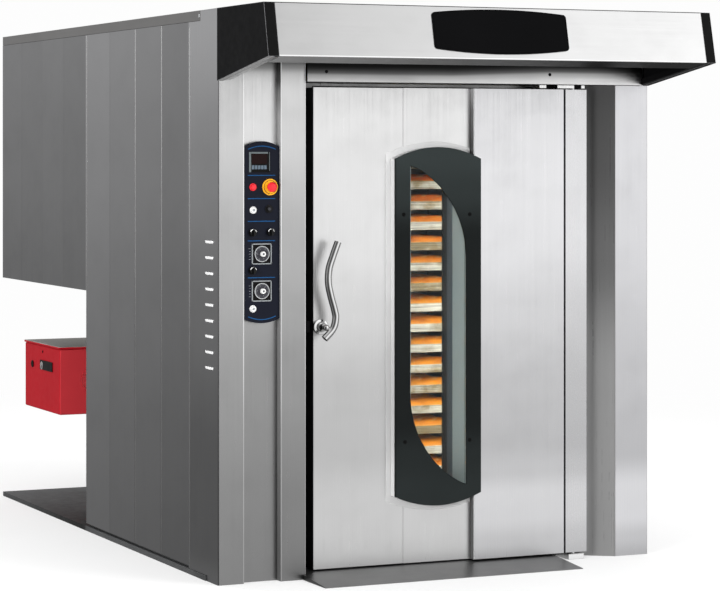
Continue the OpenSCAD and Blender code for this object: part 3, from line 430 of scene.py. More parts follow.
# ---------------------------------------------------------------- mesh kit
class Shape:
    def __init__(self):
        self.bm = bmesh.new()

    def take(self, b, mat=0):
        bmesh.ops.recalc_face_normals(b, faces=b.faces[:])
        for f in b.faces:
            f.material_index = mat
        me = bpy.data.meshes.new("tmp")
        b.to_mesh(me)
        b.free()
        self.bm.from_mesh(me)
        bpy.data.meshes.remove(me)
        return self

    def box(self, x0, x1, y0, y1, z0, z1, r=0.0, seg=2, mat=0, only=None):
        b = bmesh.new()
        bmesh.ops.create_cube(b, size=1.0)
        for v in b.verts:
            v.co = ((x0 + x1) / 2 + v.co.x * (x1 - x0), (y0 + y1) / 2 + v.co.y * (y1 - y0), (z0 + z1) / 2 + v.co.z * (z1 - z0))
        if r:
            es = b.edges[:]
            if only is not None:
                es = [e for e in es if abs((e.verts[0].co - e.verts[1].co)[only]) > 1e-6]
            bmesh.ops.bevel(b, geom=es, offset=r, segments=seg, profile=0.5, affect="EDGES", clamp_overlap=True)
        return self.take(b, mat)

    def prism(self, pts, axis, a, c, r=0.0, seg=2, mat=0, fn=None, sharp=32):
        """Outline extruded along axis 0, 1 or 2 from a to c, with its sharp edges rounded by r."""
        def p3(p, t):
            q = {0: (t, p[0], p[1]), 1: (p[0], t, p[1]), 2: (p[0], p[1], t)}[axis]
            return fn(q) if fn else q
        b = bmesh.new()
        lo = [b.verts.new(p3(p, a)) for p in pts]
        hi = [b.verts.new(p3(p, c)) for p in pts]
        b.faces.new(lo)
        b.faces.new(hi[::-1])
        n = len(pts)
        for i in range(n):
            j = (i + 1) % n
            b.faces.new((lo[i], hi[i], hi[j], lo[j]))
        bmesh.ops.recalc_face_normals(b, faces=b.faces[:])
        if r:
            b.edges.ensure_lookup_table()
            es = [e for e in b.edges if len(e.link_faces) == 2 and e.calc_face_angle(0) > math.radians(sharp)]
            bmesh.ops.bevel(b, geom=es, offset=r, segments=seg, profile=0.5, affect="EDGES", clamp_overlap=True)
        return self.take(b, mat)

    def lathe(self, prof, c, axis=1, n=40, mat=0):
        """prof: (radius, position along the axis) from one end to the other, closed at radius 0."""
        b = bmesh.new()
        rings = []
        for r, t in prof:
            ring = []
            m = 1 if r == 0 else n
            for i in range(m):
                a = 2 * math.pi * i / n
                u, w = r * math.cos(a), r * math.sin(a)
                q = {0: (c[0] + t, c[1] + u, c[2] + w), 1: (c[0] + u, c[1] + t, c[2] + w), 2: (c[0] + u, c[1] + w, c[2] + t)}[axis]
                ring.append(b.verts.new(q))
            rings.append(ring)
        for p, q in zip(rings, rings[1:]):
            for i in range(n):
                j = (i + 1) % n
                if len(p) == 1 and len(q) == 1:
                    continue
                if len(p) == 1:
                    b.faces.new((p[0], q[i], q[j]))
                elif len(q) == 1:
                    b.faces.new((p[i], q[0], p[j]))
                else:
                    b.faces.new((p[i], q[i], q[j], p[j]))
        return self.take(b, mat)

    def tube(self, pts, r, n=16, closed=False, mat=0, caps=True, rfn=None):
        pts = [Vector(p) for p in pts]
        b = bmesh.new()
        m = len(pts)
        tan = []
        for i in range(m):
            a = pts[(i - 1) % m] if closed or i > 0 else pts[i]
            c = pts[(i + 1) % m] if closed or i < m - 1 else pts[i]
            tan.append((c - a).normalized())
        up = Vector((0, -1, 0)) if abs(tan[0].y) < 0.9 else Vector((1, 0, 0))
        u = (up - tan[0] * up.dot(tan[0])).normalized()
        rings = []
        for i in range(m):
            u = (u - tan[i] * u.dot(tan[i])).normalized()
            w = tan[i].cross(u)
            rr = rfn(i / (m - 1)) * r if rfn else r
            rings.append([b.verts.new(pts[i] + (u * math.cos(2 * math.pi * j / n) + w * math.sin(2 * math.pi * j / n)) * rr) for j in range(n)])
        for i in range(m if closed else m - 1):
            p, q = rings[i], rings[(i + 1) % m]
            for j in range(n):
                k2 = (j + 1) % n
                b.faces.new((p[j], q[j], q[k2], p[k2]))
        if not closed and caps:
            b.faces.new(rings[0][::-1])
            b.faces.new(rings[-1])
        return self.take(b, mat)

    def fold(self, path, t, r, z0, z1, side=1, mat=0, axis=2, seg=4):
        """A folded sheet: the outer line path in plan, thickness t to one side, bends of outer radius r."""
        P = [Vector(p) for p in path]
        line = [P[0]]
        for i in range(1, len(P) - 1):
            a, c = (P[i - 1] - P[i]).normalized(), (P[i + 1] - P[i]).normalized()
            half = a.angle(c) / 2
            d = min(r / math.tan(half), (P[i - 1] - P[i]).length * 0.45, (P[i + 1] - P[i]).length * 0.45)
            rr = d * math.tan(half)
            mid = P[i] + (a + c).normalized() * (rr / math.sin(half))
            s, e2 = P[i] + a * d - mid, P[i] + c * d - mid
            ang = s.angle_signed(e2)
            for j in range(seg + 1):
                f = -ang * j / seg
                line.append(mid + Vector((s.x * math.cos(f) - s.y * math.sin(f), s.x * math.sin(f) + s.y * math.cos(f))))
        line.append(P[-1])
        inner = []
        for i, p in enumerate(line):
            a = (line[i] - line[i - 1]).normalized() if i else None
            c = (line[i + 1] - line[i]).normalized() if i < len(line) - 1 else None
            if a is None:
                nn, kk = Vector((-c.y, c.x)), 1.0
            elif c is None:
                nn, kk = Vector((-a.y, a.x)), 1.0
            else:
                nn = (Vector((-a.y, a.x)) + Vector((-c.y, c.x))).normalized()
                kk = 1 / max(0.3, nn.dot(Vector((-a.y, a.x))))
            inner.append(p + nn * t * side * kk)
        pts = [tuple(p) for p in line] + [tuple(p) for p in reversed(inner)]
        return self.prism(pts, axis, z0, z1, 0.0, mat=mat)


ALL = []


def finish_mesh(obj, sharp=36):
    me = obj.data
    me.polygons.foreach_set("use_smooth", [True] * len(me.polygons))
    me.set_sharp_from_angle(angle=math.radians(sharp))
    w = obj.modifiers.new("even normals", "WEIGHTED_NORMAL")
    w.keep_sharp = True
    w.weight = 60


def piece(name, shape, mats, body, nodes=(), sharp=36):
    bm = shape.bm
    for v in bm.verts:
        v.co = place(v.co)
    me = bpy.data.meshes.new(name)
    bm.to_mesh(me)
    bm.free()
    for m in (mats if isinstance(mats, (list, tuple)) else [mats]):
        me.materials.append(M[m])
    obj = bpy.data.objects.new(name, me)
    scene.collection.objects.link(obj)
    finish_mesh(obj, sharp)
    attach(obj, body)
    if nodes:
        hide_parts(*([nodes] if isinstance(nodes, str) else nodes))
    ALL.append(obj)
    return obj


def tag(obj, fn):
    """Gives each face the material slot that fn(centre in mm, normal, slot so far) names."""
    for p in obj.data.polygons:
        i = fn(work(p.center), p.normal, p.material_index)
        if i is not None:
            p.material_index = i


BODY = {n: o["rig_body"] for n, o in frame["nodes"].items()}


def islands(bm):
    left = set(bm.verts)
    out = []
    while left:
        stack = [left.pop()]
        got = set(stack)
        while stack:
            v = stack.pop()
            for e in v.link_edges:
                w = e.other_vert(v)
                if w not in got:
                    got.add(w)
                    left.discard(w)
                    stack.append(w)
        out.append(got)
    return out


def work(co):
    return Vector((co.x * 1000 + 1010, co.y * 1000 + 1245, co.z * 1000))


def dress(node, mats, bevel=0.9, seg=2, pick=None, keep=None, name=None, limit=32, edge=None):
    """The CAD node's own shape with its flat faces joined and its edges rounded."""
    bm = bmesh.new()
    bm.from_mesh(frame["nodes"][node].data)
    bmesh.ops.remove_doubles(bm, verts=bm.verts[:], dist=2e-5)
    if keep:
        for got in islands(bm):
            co = [work(v.co) for v in got]
            lo = Vector((min(c.x for c in co), min(c.y for c in co), min(c.z for c in co)))
            hi = Vector((max(c.x for c in co), max(c.y for c in co), max(c.z for c in co)))
            if not keep(lo, hi):
                bmesh.ops.delete(bm, geom=list(got), context="VERTS")
    bmesh.ops.dissolve_limit(bm, angle_limit=math.radians(0.5), verts=bm.verts[:], edges=bm.edges[:], use_dissolve_boundaries=False)
    bmesh.ops.recalc_face_normals(bm, faces=bm.faces[:])
    if pick:
        for f in bm.faces:
            f.material_index = pick(work(f.calc_center_median()), f.normal)
    else:
        for f in bm.faces:
            f.material_index = 0
    me = bpy.data.meshes.new(name or node + "_finished")
    bm.to_mesh(me)
    bm.free()
    for m in (mats if isinstance(mats, (list, tuple)) else [mats]):
        me.materials.append(M[m])
    obj = bpy.data.objects.new(name or node + "_finished", me)
    scene.collection.objects.link(obj)
    me.polygons.foreach_set("use_smooth", [True] * len(me.polygons))
    me.set_sharp_from_angle(angle=math.radians(36))
    if bevel:
        b = obj.modifiers.new("soft edges", "BEVEL")
        b.width = bevel / 1000
        b.segments = seg
        b.limit_method = "ANGLE"
        b.angle_limit = math.radians(limit)
        b.harden_normals = False
        if edge is not None:
            b.material = edge
    w = obj.modifiers.new("even normals", "WEIGHTED_NORMAL")
    w.keep_sharp = True
    w.weight = 60
    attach(obj, BODY[node])
    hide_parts(node)
    ALL.append(obj)
    return obj


def bow(w, z, s, n=24):
    return [(w * (-1 + 2 * i / n), z + s * (1 - (-1 + 2 * i / n) ** 2)) for i in range(n + 1)]


def barrel(x, w, za, zb, s0, s1, corner=0.0):
    """Upright outline with bowed ends and, if asked, rounded corners."""
    low = bow(w, za, -s0)
    high = bow(w, zb, s1)[::-1]
    pts = [Vector(p) for p in low + high]
    if corner:
        out = []
        n = len(pts)
        corners = {0, len(low) - 1, len(low), n - 1}
        poly = pts
        for i in range(n):
            if i in corners:
                a, c = poly[(i - 1) % n], poly[(i + 1) % n]
                p = poly[i]
                # walk back along each neighbour direction
                da, dc = (a - p).normalized(), (c - p).normalized()
                half = da.angle(dc) / 2
                d = corner / math.tan(half)
                mid = p + (da + dc).normalized() * (corner / math.sin(half))
                s, e2 = p + da * d - mid, p + dc * d - mid
                ang = s.angle_signed(e2)
                for j in range(6):
                    f = -ang * j / 5
                    out.append(mid + Vector((s.x * math.cos(f) - s.y * math.sin(f), s.x * math.sin(f) + s.y * math.cos(f))))
            else:
                near = min((poly[i] - poly[j]).length for j in corners)
                if near > corner * 1.15:
                    out.append(poly[i])
        pts = out
    return [(p[0] + x, p[1]) for p in pts]


def mirrored(fn):
    """Calls fn(m) for the left side and the right side; m maps x."""
    fn(lambda x: x)
    fn(lambda x: 2020 - x)


# ---------------------------------------------------------------- casing panels
def panel_side(s, x_out, x_in, y0, y1, z0, z1, r=5):
    """One folded side panel, open inwards, with its top and bottom returns."""
    side = 1 if x_in > x_out else -1
    s.fold([(x_in, y0), (x_out, y0), (x_out, y1), (x_in, y1)], 2, r, z0, z1, side=-side)
    a, b = sorted((x_out + 2 * side, x_in))
    s.box(a, b, y0 + r, y1 - r, z0, z0 + 2)
    s.box(a, b, y0 + r, y1 - r, z1 - 2, z1)


for label, x0, x1 in (("left", 0, 20), ("right", 2020, 2000)):
    s = Shape()
    for m in range(1, 5):
        ga, gb = (2, 1.6, 0.8, 0.2)[m - 1], (1.6, 0.8, 0.2, 0.2)[m - 1]
        panel_side(s, x0, x1, m * MD + ga, (m + 1) * MD - gb, 34, ROOF, 2 if m < 4 else 1)
    # a painted highlight strip along the back edge of a panel, standing in for the light its fold catches
    for m, wide in ((1, 11), (2, 12), (4, 12)):
        a, b_ = sorted((x0, x0 + (2 if x0 == 0 else -2)))
        s.box(a - 0.15, b_ + 0.15, (m + 1) * MD - wide - 2, (m + 1) * MD - 2, 36, ROOF - 2, mat=1)
    piece(label + "_body_panels", s, ["side", "seam"], "oven", label + "_side_panels")

s = Shape()
for x0, x1 in ((0, 20), (2020, 2000)):
    for m in range(5, 9):
        panel_side(s, x0, x1, m * MD + 0.2, (m + 1) * MD - 0.2, OVER, ROOF, 0.8 if m < 8 else 4)


def panel_back(s, xa, xb, ya, yb, z0, z1, r=5):
    s.fold([(xb, ya), (xb, yb), (xa, yb), (xa, ya)], 2, r, z0, z1, side=1)
    s.box(xa + r, xb - r, ya, yb - 2, z0, z0 + 2)
    s.box(xa + r, xb - r, ya, yb - 2, z1 - 2, z1)


for i in range(4):
    xa, xb = 22 + i * 494 + 0.5, 22 + (i + 1) * 494 - 0.5
    panel_back(s, xa, xb, 5 * MD - 20, 5 * MD - 2, 34, OVER - 2)
    panel_back(s, xa, xb, 3017, 3037, OVER, ROOF - 20)
piece("rear_housing_panels", s, "side", "oven", "rear_casing_panels")
dress("rear_casing_panels", "trim", 0.8, keep=lambda lo, hi: (hi.z - lo.z < 30 and hi.x - lo.x > 1500) or (lo.x > 160 and hi.x < 1860 and lo.z < 30),
      name="exchanger_housing_floor")

dress("roof_panels", "trim", 0.8)
dress("top_trims", "trim", 0.9)
dress("base_plate", "base", 1.2)

# left column: side and front folded from one sheet, recessed cover, pillar beside the door
s = Shape()
s.fold([(114, 34), (114, 0), (0, 0), (0, MD - 2)], 3, 6, 22.5, 2286, side=-1)
s.fold([(114, 34), (114, 0), (0, 0), (0, 129.5)], 3, 6, 0, 22.5, side=-1)
s.fold([(114, 3), (114, 0), (0, 0), (0, MD - 2)], 3, 6, 2286, ROOF, side=-1)
s.fold([(114, 1.5), (114, 0), (0, 0), (0, 200)], 3, 6, ROOF, 2345, side=-1)
s.box(0, 3, 6, 200, 2345, 2350, 0.5)
s.box(114.5, 272, 30, 33, 0, 2286, 0.6)
# painted highlight strips at the edges where the sheets turn in
s.box(109.5, 113.9, -0.2, 2, 2, 2284, mat=5)
s.box(273.1, 277.4, -8.2, -6, 2, 2284, mat=5)
s.box(380.4, 383.9, -8.2, -6, 2, 2284, mat=5)
# a painted highlight strip along the back edge of the column's side
s.box(-0.2, 2, MD - 16, MD - 4, 24, 2284, mat=6)
s.fold([(273, 33), (273, -8), (384, -8), (384, 124)], 3, 6, 0, 2286, side=1)
for i in range(9):
    z = 878 + i * 64.6
    # a pressed louvre: raised lip, open below, closed ends
    pr = [(0.6, z - 6.4), (-1.4, z - 4.0), (-4.0, z + 3.6), (-3.6, z + 4.8), (0.6, z + 5.6)]
    b = bmesh.new()
    cols = []
    for t, kx in ((55, 0.12), (58, 0.75), (63, 1.0), (134, 1.0), (139, 0.75), (142, 0.12)):
        cols.append([b.verts.new((0.6 + (x - 0.6) * kx, t, z + (zz - z) * (0.8 + 0.2 * kx))) for x, zz in pr])
    for p, q in zip(cols, cols[1:]):
        for i2 in range(len(pr) - 1):
            b.faces.new((p[i2], p[i2 + 1], q[i2 + 1], q[i2]))
    b.faces.new(cols[0]); b.faces.new(cols[-1][::-1])
    for p, q in zip(cols, cols[1:]):
        b.faces.new((p[-1], p[0], q[0], q[-1]))
    # slot 1: the louvre's pale painted highlight
    s.take(b, 1)


def left_slots(c, n, i):
    if i in (1, 5, 6):
        return i
    if n.x < -0.7 and c.x > 200:
        return 7
    if n.x < -0.7 and c.x < 5:
        return 2
    if 114 <= c.x <= 272.2:
        return 3
    return 4 if c.x > 272 else 0


tag(piece("left_column_sheets", s, ["column", "louvre", "flank", "cover", "pillar", "turned_edge_highlight", "seam", "pillar_side"], "oven", "left_column_casing"), left_slots)

s = Shape()
s.fold([(2020, MD - 2), (2020, 0), (1857, 0), (1703, 104), (1703, 124)], 3, 5, 22.5, 2052, side=-1)
s.fold([(2020, 129.5), (2020, 0), (1857, 0), (1703, 104), (1703, 124)], 3, 5, 0, 22.5, side=-1)
s.fold([(2020, MD - 2), (2020, 0), (1982, 0)], 3, 5, 2052, ROOF, side=-1)
s.fold([(2020, 200), (2020, 0), (1982, 0)], 3, 5, ROOF, 2345, side=-1)
s.box(2017, 2020, 6, 200, 2345, 2350, 0.5)


def right_slots(c, n, i):
    if n.x > 0.25 and n.y < -0.25:
        return 3
    if n.x > 0.7:
        return 1
    return 2 if c.x < 1856 and c.z > 0 else 0


# slot 3, the bends between front and splayed face, carries a pale painted highlight
tag(piece("right_column_sheets", s, ["right", "side", "splay", "fold"], "oven", "right_column_casing"), right_slots)

dress("lintel", "lintel", 0.9)
dress("threshold_ramp", "ramp", 1.0)

# ---------------------------------------------------------------- hood
UNDER = (2136 - 2053) / 550


def front_at(z):
    return -550 + (z - 2136) * (550 - 501) / (2350 - 2136)


s = Shape()
out = [(front_at(2346.5) + 0.02, 2346.5), (front_at(2142), 2142), (-550, 2138), (-549.4, 2136.4), (-547.4, 2136 - 2.6 * UNDER),
       (-525, 2136 - 25 * UNDER), (-525, 2139 - 25 * UNDER), (-545.5, 2139.2), (-545.7, 2142), (front_at(2346.5) + 4, 2346.5)]
s.prism(out, 0, 41.5, 1978.5)
# the front's bottom band is a painted highlight, the faces inside the hood are painted shade
tag(piece("hood_front_sheet", s, ["hood", "hood_edge_highlight", "under", "lip"], "oven", "hood_front_panel"),
    lambda c, n, i: (1 if c.z < 2141 else 0) if n.y < -0.3 and c.y < front_at(c.z) + 1.5 else (3 if n.z < -0.7 and c.z < 2140 else (0 if n.z > 0.7 and c.z > 2340 else 2)))
# the caps' rounded edges carry a painted highlight, the left cap's underside a grey painted light
dress("hood_end_caps", ["cap", "cap_edge", "cap_lip", "edge"], 1.8, edge=1,
      pick=lambda c, n: 2 if n.z < -0.7 and c.x < 200 else (3 if n.y < -0.6 or n.z < -0.7 else 0))
dress("hood_top_panel", ["trim", "lip", "cap", "under", "lip_end"], 0.9,
      pick=lambda c, n: (0 if n.z > 0.5 else 3) if c.z > 2290 else (2 if c.x > 1900 else (4 if c.x < 48 else 1)))

TILT = math.atan((550 - 501) / (2350 - 2136))

# soft strip that closes the joint between hood and roof
s = Shape()
s.prism([(-0.4, 2306.6), (5.8, 2306.6), (5.8, 2309.4), (4.6, 2310.2), (-0.4, 2310.2)], 0, 116, 1981, 0.5)
piece("hood_joint_strip", s, "rubber", "oven")


def on_hood(q):
    x, y, z = q
    return (x + 1022, y * math.cos(TILT) + z * math.sin(TILT) - 550, -y * math.sin(TILT) + z * math.cos(TILT) + 2136)


s = Shape()
s.prism(barrel(0, 306, 42, 192, 20, 17, 15), 1, -0.5, -4.5, 1.4, 3, fn=on_hood)
# a fine raised border just inside the edge
inner_line = barrel(0, 299, 48, 186, 19, 16, 12)
s.tube([on_hood((p[0], -4.5, p[1])) for p in inner_line], 0.8, 8, closed=True)
piece("hood_name_plate_blank", s, "badge", "oven", "hood_badge_plate", sharp=50)

# ---------------------------------------------------------------- inside of the casing
dress("insulation", "wool", 2.5)
dress("chamber_liner", "inner", 0.7)
dress("door_frame", "frame_in", 0.9)
dress("heat_exchanger", "scale", 1.2)
dress("roof_collars", "galv", 0.7)

# oven gasket: a bulb seal on a flat foot
s = Shape()
for a, b_ in (((480, 498), (40, 2010)), ((1537, 1555), (40, 2010))):
    s.box(a[0], a[1], 120.5, 124.5, b_[0], b_[1], 0.8)
    mid = (a[0] + a[1]) / 2
    s.tube([(mid, 118.6, b_[0] + 2), (mid, 118.6, (b_[0] + b_[1]) / 2), (mid, 118.6, b_[1] - 2)], 4.5, 14)
s.box(498.5, 1536.5, 120.5, 124.5, 1992, 2010, 0.8)
s.tube([(492, 118.6, 2001), (1017, 118.6, 2001), (1543, 118.6, 2001)], 4.5, 14)
piece("bulb_gasket", s, "rubber", "oven", "door_gasket")

s = Shape()
s.box(1624, 1700, -2, 129, 0, 21.5, 1.6)
s.box(1624, 1700, -2, 75, 21.4, 24, 1.0)
s.lathe([(0, 0), (12, 0), (12, 44.5), (10.5, 46), (0, 46)], (1662, 35, 20), 2, 32)
s.box(1573, 1656, 5, 124.5, 2038, 2052, 1.6)
s.box(1656, 1690, 16, 124.5, 2039, 2051, 1.0, mat=1)
s.box(1690, 1708, 5, 70, 2038, 2052, 1.6)
s.box(1485, 1519, 5, 70, 2038, 2052, 1.6)
# link bar set back in the gap above the door: blackened as painted shade
s.box(1518, 1574, 48, 70, 2039, 2051, 0.8, mat=1)
s.lathe([(0, 0), (10.5, 0), (12, 1.5), (12, 48), (0, 48)], (1662, 35, 1995), 2, 32)
piece("hinge_plates", s, ["hinge", "oxide"], "oven", "hinge_blocks")
# the keeper is blackened to read as the shade of the gap it sits in
dress("latch_keeper", "oxide", 1.0)

# drives: gearbox and motor of the rack, motor of the fan
s = Shape()
s.box(CX - 100, CX + 100, CY - 80, CY + 80, 2110, 2230, 8, 3, mat=1)
for dx in (-86, 86):
    for dy in (-66, 66):
        s.lathe([(0, 0), (7, 0), (7, 3.4), (5.8, 4.4), (0, 4.4)], (CX + dx, CY + dy, 2229.5), 2, 6, mat=2)
s.lathe([(0, 101), (60, 101), (62, 104), (62, 118), (54, 122), (54, 300), (58, 304), (58, 322), (50, 329), (0, 330)], (CX, CY, 2170), 0, 40)
for a in range(0, 360, 15):
    ca, sa = math.cos(math.radians(a)), math.sin(math.radians(a))
    b = bmesh.new()
    q = [(54 * ca - 1.4 * sa, 54 * sa + 1.4 * ca), (61.5 * ca - 1.1 * sa, 61.5 * sa + 1.1 * ca), (61.5 * ca + 1.1 * sa, 61.5 * sa - 1.1 * ca), (54 * ca + 1.4 * sa, 54 * sa - 1.4 * ca)]
    lo = [b.verts.new((CX + 128, CY + u, 2170 + w)) for u, w in q]
    hi = [b.verts.new((CX + 296, CY + u, 2170 + w)) for u, w in q]
    for i in range(4):
        b.faces.new((lo[i], hi[i], hi[(i + 1) % 4], lo[(i + 1) % 4]))
    b.faces.new(lo); b.faces.new(hi[::-1])
    s.take(b, 0)
s.lathe([(20.1, 2024), (62, 2024), (62, 2030), (56, 2034), (56, 2064), (20.1, 2064), (20.1, 2024)], (CX, CY, 0), 2, 48, mat=1)
for x in (CX - 98, CX + 58):
    s.box(x, x + 40, CY - 78, CY + 78, 2085, 2109.5, 3, mat=1)
s.lathe([(14.1, 1962), (66, 1962), (72, 1966), (100, 1970), (105, 1976), (105, 1992), (96, 1998), (96, 2196), (104, 2202), (104, 2226), (92, 2240), (0, 2240)], (CX, 0, 1650), 1, 48)
for a in range(0, 360, 12):
    ca, sa = math.cos(math.radians(a)), math.sin(math.radians(a))
    b = bmesh.new()
    q = [(95 * ca - 1.8 * sa, 95 * sa + 1.8 * ca), (104.6 * ca - 1.3 * sa, 104.6 * sa + 1.3 * ca), (104.6 * ca + 1.3 * sa, 104.6 * sa - 1.3 * ca), (95 * ca + 1.8 * sa, 95 * sa - 1.8 * ca)]
    lo = [b.verts.new((CX + u, 2002, 1650 + w)) for u, w in q]
    hi = [b.verts.new((CX + u, 2192, 1650 + w)) for u, w in q]
    for i in range(4):
        b.faces.new((lo[i], hi[i], hi[(i + 1) % 4], lo[(i + 1) % 4]))
    b.faces.new(lo); b.faces.new(hi[::-1])
    s.take(b, 0)
for sx in (-1, 1):
    s.box(CX + sx * 80 - 5, CX + sx * 80 + 5, 1990, 2210, OVER + 20, 1581, 1.5, mat=1)
piece("drives_finished", s, ["motor", "cast", "hinge"], "oven", "drive_motors")

# ---------------------------------------------------------------- burner
s = Shape()
s.box(100, 450, 2399, 2972, 465, 788, 7, 4)
# a loop over two joint heights that draws nothing
for z in (700, 552):
    pass
# the front face gets the lighter red as painted light
tag(piece("burner_hood", s, ["red_paint", "red_front"], "oven", "burner_cover"), lambda c, n, i: 1 if n.y < -0.7 else 0)
s = Shape()
s.box(96, 454, 2396, 2976, 789, 800, 3, 3, mat=3)
s.lathe([(50, 2050), (62, 2050), (62, 2191), (95, 2191), (95, 2203), (62, 2203), (62, 2398), (50, 2398), (50, 2050)], (275, 0, 632), 1, 48, mat=1)
for a in range(45, 360, 90):
    s.lathe([(0, 2210), (8, 2210), (8, 2203), (0, 2203)], (275 + 82 * math.cos(math.radians(a)), 0, 632 + 82 * math.sin(math.radians(a))), 1, 6, mat=1)
s.box(96, 99.5, 2510, 2712, 668, 716, 1.4, 3, mat=2)
# two raised rails of the socket and the ring round its button
s.box(95.2, 96.2, 2520, 2640, 676, 680, 0.4, mat=2)
s.box(95.2, 96.2, 2520, 2640, 704, 708, 0.4, mat=2)
s.lathe([(12.2, 4.6), (20.4, 4.6), (20.6, 3.2), (19.2, 1.8), (14.2, 1.2), (12.2, 2.0), (12.2, 4.6)], (91.6, 2679, 689), 0, 40, mat=1)
s.lathe([(0, 1.6), (6, 1.4), (9, 0.3), (13, -0.4), (16.5, 0.4), (18, 2.2), (18, 5), (0, 5)], (94.9, 2842, 686), 0, 36, mat=2)
# the lid rim's sloping bevel faces get a pale painted highlight
tag(piece("burner_details", s, ["lid", "hinge", "socket", "red_paint", "lid_edge"], "oven", "burner_head"),
    lambda c, n, i: (0 if n.z > 0.97 else (4 if n.z > 0.3 else 3)) if i == 3 else i)
s = Shape()
s.lathe([(0, 0), (8.5, 0.2), (11, 1.1), (12, 2.6), (12, 12), (0, 12)], (90, 2679, 689), 0, 32)
s.lathe([(0, 0), (3, 0), (3, 0.4), (0, 0.5)], (89.8, 2679, 689), 0, 20)
piece("burner_push_button", s, "hinge", "burner_reset", "burner_button")

# ---------------------------------------------------------------- screws
def screw(s, c, out, r, h, cross=True):
    """A pan-head screw whose head stands h out along out, with a driver recess."""
    out = Vector(out)
    a = Vector((0, 0, 1)).cross(out)
    a = a.normalized() if a.length > 0.1 else Vector((1, 0, 0))
    b_ = out.cross(a)
    c = Vector(c)
    b = bmesh.new()
    n = 28
    rings = []
    for rr, t in ((r, 0.0), (r, h * 0.45), (r * 0.82, h * 0.85), (r * 0.5, h)):
        rings.append([b.verts.new(c + a * rr * math.cos(2 * math.pi * i / n) + b_ * rr * math.sin(2 * math.pi * i / n) + out * t) for i in range(n)])
    for p, q in zip(rings, rings[1:]):
        for i in range(n):
            b.faces.new((p[i], p[(i + 1) % n], q[(i + 1) % n], q[i]))
    b.faces.new(rings[0][::-1])
    # recess: a shallow star cut into the top
    top = rings[-1]
    mid = [b.verts.new(c + a * r * (0.44 if i % 7 < 4 else 0.16) * math.cos(2 * math.pi * i / n) + b_ * r * (0.44 if i % 7 < 4 else 0.16) * math.sin(2 * math.pi * i / n) + out * h * 0.98) for i in range(n)]
    low = [b.verts.new(v.co - out * h * 0.55) for v in mid]
    for i in range(n):
        j = (i + 1) % n
        b.faces.new((top[i], top[j], mid[j], mid[i]))
        b.faces.new((mid[i], mid[j], low[j], low[i]))
    b.faces.new(low)
    s.take(b)


s = Shape()
for x in (473, 1522):
    screw(s, (x, -20.05, 2096), (0, -1, 0), 7, 2.4)
screw(s, (99.95, 2674, 758), (-1, 0, 0), 7, 2.3)
screw(s, (0, 216, 2328), (-1, 0, 0), 8, 1.4)
screw(s, (2020, 216, 2328), (1, 0, 0), 8, 1.4)
tag(piece("casing_screw_heads", s, ["oxide", "mark"], "oven", "casing_screws"), lambda c, n, i: 1 if c.z > 2200 else 0)
s = Shape()
for x, z in ((830, 1501), (1140, 1499), (836, 547), (1139, 542)):
    screw(s, (x, -12.6, z), (0, -1, 0), 8, 2.3)
piece("window_screw_heads", s, "edge", "door", "window_screws")

# ---------------------------------------------------------------- control plate
PX = 194.5
s = Shape()
s.prism(barrel(PX, 78.5, 1080, 1785, 18, 23, 4), 1, 8, 4, 1.2, 3)
for z in (1668, 1573, 1480, 1400, 1249):
    s.box(132, 253, 3.75, 4.05, z - 1.6, z + 1.6, mat=1)
for za, zb, sg in ((1775, 1.0, 13), (1090, 1.0, -13)):
    up = [(PX - 61 + 122 * i / 20, za + sg * (1 - (-1 + i / 10) ** 2)) for i in range(21)]
    pts = [(x, z + 1.7) for x, z in up] + [(x, z - 1.7) for x, z in reversed(up)]
    s.prism(pts, 1, 4.05, 3.7, mat=1)
piece("control_overlay", s, ["navy", "line"], "oven", "control_plate")

s = Shape()
# temperature controller: silver bezel, dark display, a row of keys
X0, X1, Z0, Z1 = 137, 229, 1681, 1764
s.box(X0, X0 + 9, 0.9, 3.9, Z0, Z1, 0.9, mat=0)
s.box(X1 - 9, X1, 0.9, 3.9, Z0, Z1, 0.9, mat=9)
s.box(X0 + 9, X1 - 9, 0.9, 3.9, Z1 - 7, Z1, 0.9, mat=0)
s.box(X1 - 3.5, X1 - 0.5, 0.8, 3.9, Z0 + 6, Z1 - 1, 0.6, mat=0)
s.box(X0 + 9, X1 - 9, 0.9, 3.9, Z0, Z0 + 9, 0.9, mat=9)
s.box(X0 + 9, X1 - 9, 2.2, 3.9, Z0 + 9, Z1 - 7, 0.4, mat=9)
s.box(X0 + 11, X1 - 12, 1.5, 2.4, 1715, 1756, 0.6, mat=2)
for i in range(5):
    x = X0 + 12 + i * 13.6
    s.box(x, x + 11, 0.9, 2.4, 1693, 1709, 1.0, 3, mat=3)
# carrier behind the plate
s.box(118, 270, 8.5, 29.5, 1085, 1780, 1.5, mat=9)
# timers: dark square with a light border
for z in (1346, 1194):
    s.prism([(149, z - 43), (237, z - 43), (237, z + 43), (149, z + 43)], 1, 3.85, 2.6, 0.4, mat=9)
    for a in range(4):
        x0_, x1_, z0_, z1_ = ((149, 237, z + 38.2, z + 43), (149, 237, z - 43, z - 38.2), (149, 154, z - 43, z + 43), (232.4, 237, z - 43, z + 43))[a]
        s.box(x0_, x1_, 1.5, 3.9, z0_, z1_, 0.7, mat=1)
    for i in range(5):
        zz = z + 22 - i * 11
        s.box(139 if i % 2 else 137, 144, 3.75, 4.0, zz - 0.5, zz + 0.5, mat=8)


def ring(s, x, z, ro, ri, mat, y0=-1.0):
    s.lathe([(ri, 3.9), (ro - 0.4, 3.9), (ro, 3.2), (ro, y0 + 1.4), (ro - 1.2, y0 + 0.2), (ri + 1.0, y0), (ri, y0 + 0.6), (ri, 3.9)], (x, 0, z), 1, 44, mat)


